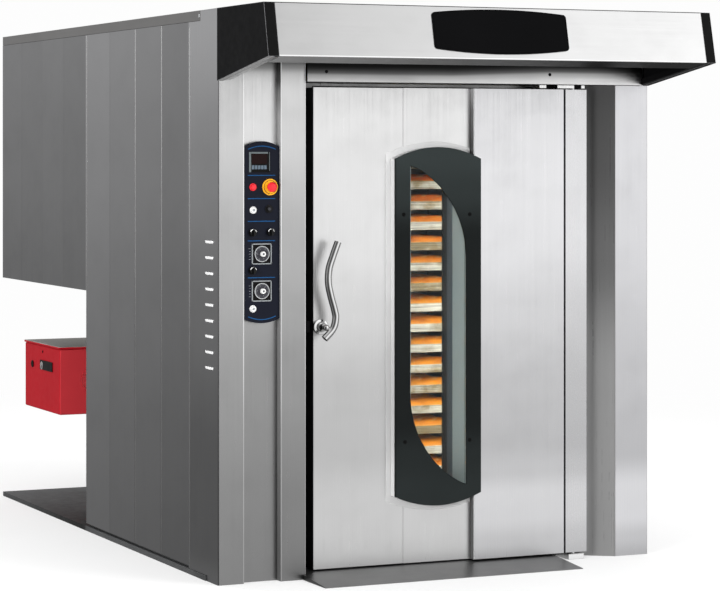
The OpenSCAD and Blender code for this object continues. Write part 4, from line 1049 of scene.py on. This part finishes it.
# emergency stop plate: flat yellow disc with a turned-down edge and a collar
s.lathe([(14.2, 3.9), (34, 3.9), (34, 0.8), (32.8, -0.4), (20, -0.4), (19, -1.0), (14.2, -1.0), (14.2, 3.9)], (230, 0, 1620), 1, 56, 4)
s.tube([(230 + 27.5 * math.cos(2 * math.pi * i / 48), -0.5, 1620 + 27.5 * math.sin(2 * math.pi * i / 48)) for i in range(48)], 0.9, 6, closed=True, mat=6)
ring(s, 154, 1620, 15.6, 11.2, 5)
ring(s, 155, 1526, 15.0, 11.2, 7)
ring(s, 224, 1530, 16.5, 11.2, 6)
ring(s, 154, 1122, 14.6, 11.2, 7)
for x, z in ((151, 1434), (230, 1435), (151, 1279)):
    ring(s, x, z, 16.5, 8.2, 6)
piece("control_hardware", s, ["bezel", "silver", "screen", "key", "yellow", "red", "black", "white", "tick", "socket"], "oven", "control_fixtures")


def push_button(name, body, node, x, z, mats, proud=-7.0):
    s = Shape()
    s.lathe([(0, proud + 0.9), (4.6, proud + 0.7), (8.4, proud), (10.2, proud + 0.5), (11, proud + 1.8), (11, 0.8), (0, 0.8)], (x, 0, z), 1, 40)
    s.lathe([(0, proud + 0.2), (5.8, proud + 0.0), (6.4, proud + 1.0), (0, proud + 1.2)], (x, 0, z), 1, 32, 1)
    piece(name, s, mats, body, node)


push_button("start_push_button", "start", "start_button", 154, 1620, ["red", "stop_red"])
push_button("light_push_button", "light", "light_button", 155, 1526, ["white", "grey_dot"])
push_button("steam_push_button", "steam", "steam_button", 224, 1530, ["black", "dial"])
push_button("lamp_push_button", "lamp", "lamp_button", 154, 1122, ["white", "grey_dot"])

s = Shape()
s.lathe([(0, -31.8), (8, -31.4), (14, -30.0), (18.4, -27.2), (20.6, -23.4), (21, -20.5), (20.3, -17.8), (18.6, -15.4), (16.2, -14.0), (14, -14.2), (13.4, -10), (13.9, -3.4), (13.9, -0.4), (0, -0.4)], (230, 0, 1620), 1, 56)
for a in (90, 210, 330):
    # raised turning ribs on the head
    pts = [(230 + rr * math.cos(math.radians(a + da)), -32 + dz, 1620 + rr * math.sin(math.radians(a + da))) for rr, da, dz in ((5, 0, 0.6), (9, 10, 1.0), (12.5, 22, 1.9), (15, 36, 2.9))]
    s.tube(pts, 1.1, 8)
piece("stop_mushroom", s, "stop_red", "stop", "stop_button", sharp=45)

for name, body, node, x, z in (("selector_knob_left", "select_left", "selector_left", 151, 1434), ("selector_knob_right", "select_right", "selector_right", 230, 1435), ("selector_knob_lower", "select_lower", "selector_lower", 151, 1279)):
    s = Shape()
    s.lathe([(0, -12), (13.6, -12), (15, -10.8), (15, -8), (14, -7), (8, -6.6), (8, 3.6), (0, 3.6)], (x, 0, z), 1, 44)
    # waisted grip with a rounded nose
    grip = [(-3.4, -13.2), (-2.6, -13.9), (2.6, -13.9), (3.4, -13.2), (2.6, 0), (3.4, 13.2), (2.6, 13.9), (-2.6, 13.9), (-3.4, 13.2), (-2.6, 0)]
    s.prism([(x + u, z + w) for u, w in grip], 1, -11.5, -24, 0.9, 2)
    # white index arc on the collar
    arc = [(x + 13.0 * math.cos(math.radians(a)), -12.0, z + 13.0 * math.sin(math.radians(a))) for a in range(12, 165, 8)]
    s.tube(arc, 1.7, 8, mat=1)
    piece(name, s, ["black", "arc"], body, node)


def digits(text, size):
    cu = bpy.data.curves.new("t", "FONT")
    cu.body = text
    cu.size = size
    cu.align_x = "CENTER"
    cu.align_y = "CENTER"
    cu.resolution_u = 2
    cu.extrude = 0.12
    ob = bpy.data.objects.new("t", cu)
    scene.collection.objects.link(ob)
    dg = bpy.context.evaluated_depsgraph_get()
    me = bpy.data.meshes.new_from_object(ob.evaluated_get(dg))
    b = bmesh.new()
    b.from_mesh(me)
    bpy.data.objects.remove(ob)
    bpy.data.meshes.remove(me)
    bpy.data.curves.remove(cu)
    return b


for name, body, node, x, z in (("timer_dial_upper", "timer_upper", "timer_knob_upper", 193, 1346), ("timer_dial_lower", "timer_lower", "timer_knob_lower", 193, 1194)):
    s = Shape()
    s.lathe([(0, -2.2), (28.6, -2.2), (29.2, -2.9), (32.2, -3.0), (33, -2.2), (33, 0.4), (32.4, 1), (4, 1), (4, 3.5), (0, 3.5)], (x, 0, z), 1, 64, 1)
    s.lathe([(29.4, -2.6), (29.7, -3.0), (32.4, -3.0), (33, -2.3), (32.4, -2.0), (29.4, -2.0), (29.4, -2.6)], (x, 0, z), 1, 64, 2)
    for i in range(25):
        a = math.radians(240 - i * 12.5)
        r0, r1, w = (25.4, 28.4, 0.35) if i % 5 else (24.2, 28.4, 0.6)
        ca, sa = math.cos(a), math.sin(a)
        q = [(r0 * ca - w * sa, r0 * sa + w * ca), (r1 * ca - w * sa, r1 * sa + w * ca), (r1 * ca + w * sa, r1 * sa - w * ca), (r0 * ca + w * sa, r0 * sa - w * ca)]
        s.prism([(x + u, z + v) for u, v in q], 1, -2.1, -2.3, mat=4)
    for i in range(6):
        a = math.radians(240 - i * 62.5)
        b = digits(str(i * 12), 4.0)
        for v in b.verts:
            v.co = (x + 20.6 * math.cos(a) + v.co.x, -2.2 - v.co.z, z + 20.6 * math.sin(a) + v.co.y)
        s.take(b, 4)
    # knob: skirt, pale ribbed ring, dark dished centre with a pale pointer
    s.lathe([(14, -2.2), (14, -4.5), (13.2, -6.0), (10.6, -7.2)], (x, 0, z), 1, 48, 1)
    s.lathe([(10.8, -6.8), (10.7, -17.8), (9.9, -19.5), (8.6, -20), (5.4, -19.8), (4.4, -18.9), (4.2, -2.2)], (x, 0, z), 1, 48, 0)
    s.lathe([(4.6, -2.2), (4.6, -18.7), (0, -18.4)], (x, 0, z), 1, 24, 1)
    for i in range(20):
        a = 2 * math.pi * i / 20
        s.tube([(x + 10.7 * math.cos(a), -8.4, z + 10.7 * math.sin(a)), (x + 10.6 * math.cos(a), -13, z + 10.6 * math.sin(a)), (x + 10.3 * math.cos(a), -17.4, z + 10.3 * math.sin(a))], 0.7, 6, mat=0)
    s.box(x - 0.7, x + 0.7, -19.2, -18.2, z - 3.8, z + 3.8, 0.3, mat=2)
    piece(name, s, ["knob", "dial", "mark", "dial", "tick"], body, node)

# ---------------------------------------------------------------- door
s = Shape()
s.box(435, 845, 30, 33, 31, 2033, 1.3, 3)
s.box(844.8, 848.2, 30.7, 33, 32, 2032)
# middle skin, cut round the window tunnel
mid = [(848, 863, 31, 2033), (1126, 1163, 31, 2033), (863, 1126, 31, 349), (863, 1126, 1711, 2033)]
b = bmesh.new()
xs = [848, 863, 1126, 1163]
zs = [31, 349, 1711, 2033]
for yy in (30, 33):
    g = [[b.verts.new((x, yy, z)) for z in zs] for x in xs]
    for i in range(3):
        for j in range(3):
            if i == 1 and j == 1:
                continue
            b.faces.new((g[i][j], g[i + 1][j], g[i + 1][j + 1], g[i][j + 1]))
b.verts.ensure_lookup_table()
bmesh.ops.bridge_loops(b, edges=[e for e in b.edges if e.is_boundary and all(v.co.x in (848, 1163) or v.co.z in (31, 2033) for v in e.verts) and not all(v.co.x in (863, 1126) and v.co.z in (349, 1711) for v in e.verts)])
s.take(b)
s.fold([(1165, 33), (1165, -1), (1603, -1), (1603, 33)], 3, 4.5, 31, 2033, side=1, seg=5)
s.box(1168.2, 1599.8, 2.2, 32, 31, 33.5)
s.box(1168.2, 1599.8, 2.2, 32, 2030.5, 2033)
# black strip on the door's top edge, standing in for the shadow line above the door
s.box(436, 1602, 33.5, 46, 2030, 2037.4, 0.8, mat=4)
# slot 2, the bends of the right skin's fold, carries a pale painted highlight
tag(piece("door_skin_sheets", s, ["door", "left_skin", "fold", "return", "edge"], "door", "door_skins"),
    lambda c, n, i: 4 if i == 4 else 1 if c.x < 1163.5 else (2 if n.y < -0.2 and abs(n.x) > 0.2 else (3 if n.x < -0.7 else 0)))

dress("door_edge_frame", "edge", 0.9)
dress("door_insulation", "wool", 2.0)
dress("door_plug", "inner", 1.0)
dress("hinge_post", "post", 2.4, 3)

# blued lining of the window tunnel, painted darker deeper in as shade
M["reveal_in"] = steel("blued_plug_lining", [(0.3, 0.34), (1.75, 0.36)], "#9fb8cc", rough=(0.36, 0.46), grain=(1.6, 230, 230), streak=0.05,
                       depth=(-1.125, -1.022, 0.8, 0.22), metal=0.3)
dress("window_reveal", ["reveal", "reveal_in"], 0.5, pick=lambda c, n: 1 if c.y > 119.5 else 0)
dress("window_frame", ["frame", "frame_rim", "edge"], 2.2, 3, pick=lambda c, n: 1 if c.y > 0 else 0, edge=2)
# only the front edges of the frame are rounded
b = bmesh.new()
b.from_mesh(ALL[-1].data)
heavy = b.edges.layers.float.new("bevel_weight_edge")
for e in b.edges:
    e[heavy] = 1.0 if e.calc_face_angle(0.0) > 0.56 and max(work(v.co).y for v in e.verts) < 0 else 0.0
b.to_mesh(ALL[-1].data)
b.free()
ALL[-1].modifiers["soft edges"].limit_method = "WEIGHT"
dress("window_glass", "glass", 0.0)

# thin pale flange around the foot of the frame, flat on the door's skin; its pale tone, graded by height, is painted
# light standing in for the skin's bright reflection next to the frame
def bowed(w, za, zb, s0, s1, xr=1162.0, n=40):
    f = lambda x: 1 - ((x - 992) / w) ** 2
    xs = [992 - w + (xr - 992 + w) * i / n for i in range(n + 1)]
    low = [(x, za - s0 * f(x)) for x in xs][::-1]
    return low + [(x, zb + s1 * f(x)) for x in xs]


b = bmesh.new()
loops = [[b.verts.new((x, y, z)) for x, z in bowed(w, 318 - g, 1735 + g, 46, 49)] for w, g, y in
         ((225, 23, 29.9), (224.6, 22.6, 29.3), (202.5, 0.5, 29.0), (202.5, 0.5, 29.9))]
for p, q in zip(loops, loops[1:] + loops[:1]):
    for i in range(len(p) - 1):
        b.faces.new((p[i], p[i + 1], q[i + 1], q[i]))
b.faces.new([lp[0] for lp in loops])
b.faces.new([lp[-1] for lp in loops])
s = Shape()
s.take(b)
piece("frame_foot_flange", s, "frame_flange", "door")

# rose: stepped and dished
s = Shape()
s.lathe([(8.1, 29.5), (34, 29.5), (34, 21.4), (33.2, 19.2), (31, 18.2), (22.5, 17.6), (20.6, 16.4), (20, 14.5), (20, 5.6), (19.2, 4.4), (17.6, 4.0), (8.1, 4.0), (8.1, 29.5)], (466, 0, 1038), 1, 64)
piece("handle_rose_turned", s, "chrome", "door", "handle_rose", sharp=50)

# handle: one S-shaped bar, flat cut ends, on a boss with a neck
HP = [(515, 1392), (493, 1335), (475, 1281), (472, 1225), (483, 1170), (499, 1114), (505, 1077), (493, 1033), (455, 993)]


def smooth_line(pts, per=8):
    P = [Vector(p) for p in pts]
    P = [P[0] * 2 - P[1]] + P + [P[-1] * 2 - P[-2]]
    out = []
    for i in range(1, len(P) - 2):
        for j in range(per):
            t = j / per
            a, b2, c, d = P[i - 1], P[i], P[i + 1], P[i + 2]
            out.append(0.5 * ((2 * b2) + (c - a) * t + (2 * a - 5 * b2 + 4 * c - d) * t * t + (3 * b2 - a - 3 * c + d) * t ** 3))
    out.append(P[-2])
    return out


line = smooth_line(HP)
s = Shape()
s.tube([(p.x, -42, p.y) for p in line], 15.2, 28)
s.lathe([(0, -46.5), (5, -46), (9.5, -44), (12.6, -40.6), (14, -36), (14, -30), (11.5, -26), (10.8, -18), (11.5, -8), (15, -2), (16, 0.5), (16, 1.8), (15, 3), (8, 3.2), (8, 56), (0, 56)], (466, 0, 1038), 1, 48)
piece("door_handle_bar", s, ["chrome", "edge"], "handle", "door_handle", sharp=50)
tag(ALL[-1], lambda c, n, i: 1 if min((c - Vector((q[0], -42, q[1]))).length for q in (HP[0], HP[-1])) < 4 else 0)
dress("latch_bolt", "oxide", 2.0, 3)

# ---------------------------------------------------------------- rack
dress("rotor_hook", "rack", 1.2)
dress("rack_frame", "rack", 0.9)
dress("circulation_fan", "galv", 0.6)

RX0, RX1, RY0, RY1 = 595, 1425, 420, 1340
for node, x, y in (("wheel_front_left", 640, 480), ("wheel_front_right", 1380, 480), ("wheel_rear_left", 640, 1280), ("wheel_rear_right", 1380, 1280)):
    s = Shape()
    prof = [(6.1, -15), (13, -15), (14, -13.8), (14, -9), (17, -7.5), (36, -6.5), (39, -9), (40.5, -13), (42.5, -14.8), (45.6, -14), (47.4, -11), (48, -6), (48, 6), (47.4, 11), (45.6, 14), (42.5, 14.8), (40.5, 13), (39, 9), (36, 6.5), (17, 7.5), (14, 9), (14, 13.8), (13, 15), (6.1, 15), (6.1, -15)]
    s.lathe(prof, (x, y, 92), 0, 48)
    piece(node + "_turned", s, "tyre", BODY[node], node, sharp=50)

TX0, TX1, TY0, TY1 = RX0 + 31, RX1 - 31, RY0 + 5, RY1 - 5
TZ, PITCH = 164.4, 89.7


def rounded_rect(x0, x1, y0, y1, r, n=4):
    out = []
    for cx_, cy_, a0 in ((x1 - r, y1 - r, 0), (x0 + r, y1 - r, 90), (x0 + r, y0 + r, 180), (x1 - r, y0 + r, 270)):
        for i in range(n + 1):
            a = math.radians(a0 + 90 * i / n)
            out.append((cx_ + r * math.cos(a), cy_ + r * math.sin(a)))
    return out


s = Shape()
for lv in range(18):
    z = TZ + lv * PITCH
    b = bmesh.new()
    # outside up to the rolled rim, over it and down the inside to the floor of the tray
    stack = [(4.0, 0.0, 8), (1.2, 1.0, 11), (0.6, 3.0, 12), (0.3, 11.0, 12), (1.0, 12.0, 12), (0.3, 13.0, 12), (0.3, 29.0, 12), (0.0, 31.0, 12), (0.0, 34.5, 12), (1.2, 36.0, 12), (3.2, 36.0, 10), (4.0, 34.0, 9), (3.0, 30.0, 9), (2.6, 4.0, 9), (5.0, 2.0, 8)]
    rings = []
    for inset, dz, rad in stack:
        rings.append([b.verts.new((p[0], p[1], z + dz)) for p in rounded_rect(TX0 + inset, TX1 - inset, TY0 + inset, TY1 - inset, rad)])
    n = len(rings[0])
    for p, q in zip(rings, rings[1:]):
        for i in range(n):
            b.faces.new((p[i], p[(i + 1) % n], q[(i + 1) % n], q[i]))
    b.faces.new(rings[0][::-1])
    b.faces.new(rings[-1])
    s.take(b)
piece("pressed_trays", s, "tray", "rack", "baking_trays", sharp=60)

# loaves: two across and five deep on every tray, each with its own size, lean and cuts
rnd = random.Random(7)
bm = bmesh.new()
crumb = bm.verts.layers.float.new("crumb")
COLS = ((821, 0), (1199, 1))
for lv in range(18):
    z0 = TZ + lv * PITCH + 2.6
    for cx_, ci in COLS:
        for row in range(5):
            front = row == 0
            nu, nv = (44, 22) if front else (26, 13)
            half_l = 158 + rnd.uniform(-7, 7)
            half_w = 84 + rnd.uniform(-3, 2)
            high = 62.5 + rnd.uniform(-4.5, 1.5)
            ox, lean = rnd.uniform(-16, 14), rnd.uniform(-0.05, 0.05)
            yc = TY0 + 92 + row * 181.5 + rnd.uniform(-2, 2)
            xc = cx_ - 6 + ox
            seed = Vector((lv * 3.1, row * 5.7, ci * 9.3))
            cuts = [(-0.55, 0.5), (-0.12, 0.5), (0.34, 0.5)] if rnd.random() < 0.7 else [(0.0, 0.0)]
            skew = rnd.uniform(-0.12, 0.16)
            rings = []
            for j in range(nv + 1):
                ph = math.radians(-38 + 128 * j / nv)
                ring_ = []
                m = 1 if j == nv else nu
                for i in range(m):
                    th = 2 * math.pi * i / nu
                    cr = max(0.0, math.cos(ph)) ** 0.85
                    cx2, cy2 = math.cos(th), math.sin(th)
                    sx = math.copysign(abs(cx2) ** 0.86, cx2) * cr
                    sy = math.copysign(abs(cy2) ** 0.80, cy2) * cr
                    t = max(0.0, (math.sin(ph) + 0.34) / 1.34)
                    zz = high * t ** 0.92
                    # the top sinks a little towards one end
                    zz *= 1.0 - 0.10 * skew * 4 * sx * (1 if t > 0.5 else 0.4)
                    q = Vector((sx * 2.2, sy * 1.2, t)) + seed
                    d = noise.noise(q * 1.3) * 3.0 + noise.noise(q * 3.7) * 1.0
                    zz = max(0.0, zz + d * min(1.0, t * 2))
                    open_ = 0.0
                    for c0, sl in cuts:
                        if sl:
                            dist = abs((sx - c0) - 0.32 * sy) / 0.055
                            ok = abs(sy) < 0.62
                        else:
                            dist = abs(sy - 0.12 * sx) / 0.11
                            ok = abs(sx) < 0.72
                        if ok and t > 0.6 and dist < 2.2:
                            g = math.exp(-dist * dist)
                            open_ = max(open_, g)
                            zz -= 3.4 * g
                            zz += 1.3 * math.exp(-(dist - 1.4) ** 2 * 3)
                    lx = half_l * sx + d * 0.6
                    ly = half_w * sy + d * 0.4
                    X = xc + lx * math.cos(lean) - ly * math.sin(lean)
                    Y = yc + lx * math.sin(lean) + ly * math.cos(lean)
                    X = min(TX1 - 5, max(TX0 + 5, X))
                    Y = min(TY1 - 5, max(TY0 + 5, Y))
                    v = bm.verts.new(place((X, Y, z0 + min(zz, 66.0))))
                    v[crumb] = min(0.8, open_ * 0.8)
                    ring_.append(v)
                rings.append(ring_)
            bm.faces.new(rings[0][::-1])
            for p, q in zip(rings, rings[1:]):
                for i in range(nu):
                    j2 = (i + 1) % nu
                    if len(q) == 1:
                        bm.faces.new((p[i], p[j2], q[0]))
                    else:
                        bm.faces.new((p[i], p[j2], q[j2], q[i]))
bmesh.ops.recalc_face_normals(bm, faces=bm.faces[:])
me = bpy.data.meshes.new("loaves")
bm.to_mesh(me)
bm.free()
me.materials.append(M["bread"])
me.polygons.foreach_set("use_smooth", [True] * len(me.polygons))
loaves = bpy.data.objects.new("bread_loaves_baked", me)
scene.collection.objects.link(loaves)
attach(loaves, "rack")
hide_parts("bread_loaves")

# ---------------------------------------------------------------- studio
world = bpy.data.worlds.new("studio")
scene.world = world
world.use_nodes = True
nt = world.node_tree
nt.nodes.clear()


def wn(kind, **kw):
    n_ = nt.nodes.new(kind)
    for k_, v_ in kw.items():
        setattr(n_, k_, v_)
    return n_


def wm(op, a, b_=None):
    m_ = wn("ShaderNodeMath", operation=op)
    for i_, x_ in enumerate((a, b_)):
        if x_ is None:
            continue
        if isinstance(x_, (int, float)):
            m_.inputs[i_].default_value = x_
        else:
            nt.links.new(x_, m_.inputs[i_])
    return m_.outputs[0]


tc = wn("ShaderNodeTexCoord")
sp = wn("ShaderNodeSeparateXYZ")
nt.links.new(tc.outputs["Generated"], sp.inputs[0])
# bearing from straight ahead of the door, turning towards +X, as 0..1
bearing = wm("ARCTAN2", sp.outputs[0], wm("MULTIPLY", sp.outputs[1], -1.0))
turn = wm("ADD", wm("DIVIDE", bearing, 2 * math.pi), 0.5)


def world_ramp(v, stops, mode):
    r_ = wn("ShaderNodeValToRGB")
    r_.color_ramp.interpolation = mode
    els = r_.color_ramp.elements
    while len(els) < len(stops):
        els.new(0.5)
    for e_, (p_, c_) in zip(els, sorted(stops)):
        e_.position = p_
        e_.color = (c_, c_, c_, 1)
    nt.links.new(v, r_.inputs[0])
    return r_.outputs[0]


def deg(a):
    return a / 360 + 0.5


walls = world_ramp(turn, [(deg(-180), 0.40), (deg(-155), 0.36), (deg(-138), 0.36), (deg(-124), 0.30), (deg(-106), 0.34), (deg(-92), 0.42), (deg(-82), 0.46),
                          (deg(-73), 0.36), (deg(-65), 0.24), (deg(-50), 0.21), (deg(-45), 0.03), (deg(-32), 0.03), (deg(-27), 0.21), (deg(-14), 0.22), (deg(-2), 0.50),
                          (deg(8), 1.22), (deg(42), 1.34), (deg(54), 0.80), (deg(63), 0.20), (deg(70), 0.14), (deg(80), 0.40), (deg(92), 0.55), (deg(106), 0.44),
                          (deg(136), 0.42), (deg(180), 0.40)], "EASE")
rise_ = world_ramp(wm("ADD", wm("MULTIPLY", sp.outputs[2], 0.5), 0.5), [(0.0, 0.42), (0.30, 0.55), (0.43, 0.76), (0.50, 0.96), (0.56, 1.0), (1.0, 1.0)], "EASE")
lit = wn("ShaderNodeMix", data_type="RGBA", blend_type="MULTIPLY")
lit.inputs[0].default_value = 1.0
nt.links.new(walls, lit.inputs[6])
nt.links.new(rise_, lit.inputs[7])
# the ceiling is one even soft light
up = wn("ShaderNodeMapRange", interpolation_type="SMOOTHSTEP")
for i_, x_ in enumerate((0.45, 0.95, 0.0, 1.0)):
    up.inputs[i_ + 1].default_value = x_
nt.links.new(sp.outputs[2], up.inputs[0])
ceil = wn("ShaderNodeMix", data_type="RGBA")
nt.links.new(up.outputs[0], ceil.inputs[0])
nt.links.new(lit.outputs[2], ceil.inputs[6])
ceil.inputs[7].default_value = (0.85, 0.85, 0.85, 1)
bg_light = wn("ShaderNodeBackground")
nt.links.new(ceil.outputs[2], bg_light.inputs[0])
bg_seen = wn("ShaderNodeBackground")
PALE = (0.985, 0.985, 0.985, 1)
bg_seen.inputs[0].default_value = PALE
lp = wn("ShaderNodeLightPath")
mx = wn("ShaderNodeMixShader")
nt.links.new(lp.outputs["Is Camera Ray"], mx.inputs[0])
nt.links.new(bg_light.outputs[0], mx.inputs[1])
nt.links.new(bg_seen.outputs[0], mx.inputs[2])
wo = wn("ShaderNodeOutputWorld")
nt.links.new(mx.outputs[0], wo.inputs[0])


def area(name, loc, aim, w, h, power, glossy=False, tint=(1, 1, 1)):
    d = bpy.data.lights.new(name, "AREA")
    d.shape = "RECTANGLE"
    d.size, d.size_y = w, h
    d.energy = power
    d.color = tint
    o = bpy.data.objects.new(name, d)
    scene.collection.objects.link(o)
    o.location = loc
    o.rotation_euler = (Vector(aim) - Vector(loc)).to_track_quat("-Z", "Y").to_euler()
    o.visible_camera = False
    o.visible_glossy = glossy
    return o


area("top_soft", (0.0, -0.5, 8.0), (0, 0, 0), 9, 9, 560)
area("key_soft", (4.5, -8.0, 5.5), (0.2, -0.8, 1.0), 4, 4, 420)
area("fill_left", (-8.0, -4.0, 4.0), (0, 0, 1.0), 5, 4, 170)
area("low_left", (-5.6, -5.4, 1.5), (-0.7, 1.2, 0.6), 2.0, 1.4, 280)
area("back_soft", (1.0, 9.0, 5.0), (0, 0, 1.0), 6, 4, 180)
# the chamber's own lamps, upright at both sides of the doorway in front of the rack
area("chamber_lamp_left", place((770, 262, 990)), place((1040, 440, 990)), 0.05, 1.45, 7.5, False, (1.0, 0.95, 0.87))
area("chamber_lamp_right", place((1290, 262, 990)), place((1040, 440, 990)), 0.05, 1.45, 5.0, False, (1.0, 0.95, 0.87))
# a cool strip on the left wall of the window tunnel, carried by the door
strip = area("window_strip", place((872, 52, 1030)), place((1123, 40, 1030)), 1.3, 0.06, 0.9, False, (0.97, 1.0, 0.98))
strip.rotation_euler = Matrix(((0, 0, -1), (0, -1, 0), (-1, 0, 0))).to_euler()
strip.data.spread = math.radians(110)
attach(strip, "door")

# floor: a wide pale disc that fades into the background long before its edge
bm = bmesh.new()
radii = [0.5, 1, 2, 3, 4, 6, 8, 12, 20, 40, 80]
cv = bm.verts.new((0, 0, 0))
prev = None
for r_ in radii:
    ring_ = [bm.verts.new((r_ * math.cos(2 * math.pi * i / 64), r_ * math.sin(2 * math.pi * i / 64), 0)) for i in range(64)]
    for i in range(64):
        j = (i + 1) % 64
        if prev is None:
            bm.faces.new((cv, ring_[i], ring_[j]))
        else:
            bm.faces.new((prev[i], ring_[i], ring_[j], prev[j]))
    prev = ring_
me = bpy.data.meshes.new("floor")
bm.to_mesh(me)
bm.free()
k = Mat("pale_floor").set(Roughness=0.9)
k.b.inputs["Specular IOR Level"].default_value = 0.1
k.color(k.span(k.noise(k.coords(), 1.5, 3.0), 0.3, 0.7, 0.84, 0.86))
em = k.n("ShaderNodeEmission")
em.inputs[0].default_value = PALE
ln = k.n("ShaderNodeVectorMath", operation="LENGTH")
k.l(k.coords(), ln.inputs[0])
fade = k.span(ln.outputs["Value"], 2.6, 7.0, 0.5, 1.0, True)
ms = k.n("ShaderNodeMixShader")
k.l(fade, ms.inputs[0]); k.l(k.b.outputs[0], ms.inputs[1]); k.l(em.outputs[0], ms.inputs[2])
k.l(ms.outputs[0], k.out.inputs[0])
me.materials.append(k.m)
floor = bpy.data.objects.new("floor", me)
scene.collection.objects.link(floor)
floor.location.z = -0.0005
floor.visible_glossy = False
